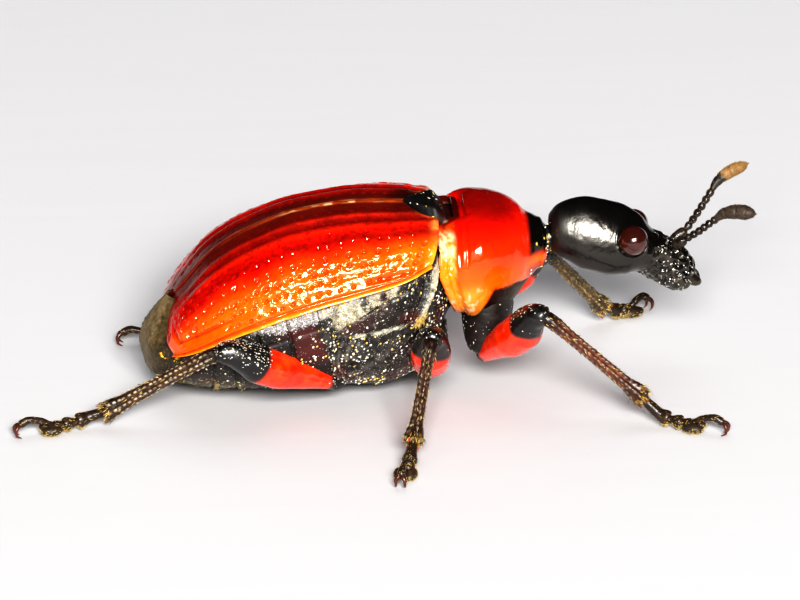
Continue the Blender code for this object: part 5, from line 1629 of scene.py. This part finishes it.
# Pale dots on the belly's flank: scales, some of them standing in as painted glints of the punctures.
clump = step(-0.3, 0.5, noise(belly_skin.points, 0.25, 302))
forward = step(-2.3, -1.4, belly_skin.points[..., 0])
fur("belly_dots", [(belly_skin, 420, belly_masks["side"] * (0.15 + clump) * (0.25 + forward))],
    SCALE_COLOURS, (0.035, 0.060), (0.020, 0.036), 340, rise=0.35, flat=0.7, belly=1.2)
fur("belly_dust", [(belly_skin, 2200, belly_masks["side"])], DUST_COLOURS, (0.018, 0.034), (0.010, 0.018),
    345, rise=0.25, flat=0.6)
fur("belly_scales", [(belly_skin, 2600, belly_masks["under"])],
    ((0.82, 0.80, 0.79), (0.60, 0.58, 0.57), (0.34, 0.33, 0.32)), (0.030, 0.055), (0.014, 0.026),
    350)
fur("belly_hairs", [(belly_skin, 700, belly_masks["low"])], GOLD_COLOURS, (0.06, 0.11), (0.008, 0.013),
    360, rise=0.4)
fur("rump_hairs", [(rump_skin, 2200, rump_skin.everywhere())],
    ((0.17, 0.12, 0.05), (0.10, 0.07, 0.03), (0.30, 0.22, 0.10)), (0.05, 0.09), (0.007, 0.012),
    370, rise=0.2, away=(-0.35, 0.0, -1.0))
speck = bump(-0.72, 0.05, rump_skin.points[..., 1]) * bump(0.76, 0.04, rump_skin.points[..., 2])
fur("rump_dots", [(rump_skin, 7, speck)], ((0.95, 0.45, 0.02), (0.95, 0.60, 0.04)), (0.05, 0.08),
    (0.045, 0.065), 375, flat=0.7, belly=1.2)
fur("shield_dots", [(shield_skin, 26, shield_skin.everywhere())], SCALE_COLOURS, (0.04, 0.06),
    (0.020, 0.030), 380, flat=0.7)

near_neck = step(2.16, 2.24, shell_skin.points[..., 0]) * step(2.34, 2.20, shell_skin.points[..., 2])
fur("neck_dots", [(neck_skin, 90, step(2.36, 2.22, neck_skin.points[..., 2])), (shell_skin, 60, near_neck)],
    SCALE_COLOURS + GOLD_COLOURS, (0.035, 0.060), (0.030, 0.060), 390, flat=0.7, belly=1.25)

for leg in LEGS:
    hind = pair_of(leg) == "hind"
    coxa_skin = coxa(leg, trunk_material)
    femur_skin, dark = femur(leg, thigh_material)
    tibia_skin = tibia(leg, leg_material)
    foot_skins = foot(leg, leg_material)
    seed = 400 + 10 * list(LEGS).index(leg)
    low_turn = -0.2 if hind else 0.0
    top = step(low_turn, low_turn + 0.5, (femur_skin.normals() @ np.array((0.0, 0.0, 1.0))))
    patch = dark * top * (1.0 if hind else 0.3)
    fur(f"leg_scales_{leg}", [(femur_skin, 420 if hind else 90, patch + 0.03 * dark),
                              (coxa_skin, 190, coxa_skin.everywhere())],
        SCALE_COLOURS[:3] + ((0.55, 0.53, 0.48),) * 2, (0.030, 0.055), (0.012, 0.026),
        seed)
    length = tibia_skin.by_row(np.linspace(0, 1, len(tibia_skin.points)))
    shin_patches = [(tibia_skin, 420, 0.5 + step(0.1, 0.4, length)),
                    (tibia_skin, 260, step(0.88, 0.96, length))]
    fur(f"shin_hairs_{leg}", shin_patches, GOLD_COLOURS + ((0.12, 0.07, 0.04),) * 3, (0.06, 0.12),
        (0.007, 0.012), seed + 1, rise=0.35)
    soles = [(skin, 170, step(0.14, 0.04, skin.points[..., 2])) for skin in foot_skins]
    backs = [(skin, 50, skin.everywhere()) for skin in foot_skins[:4]]
    fur(f"foot_hairs_{leg}", [sole for sole in soles if sole[2].sum() > 1] + backs, GOLD_COLOURS,
        (0.035, 0.060), (0.006, 0.010), seed + 2, rise=0.5,
        away=foot_frame(leg)[1])
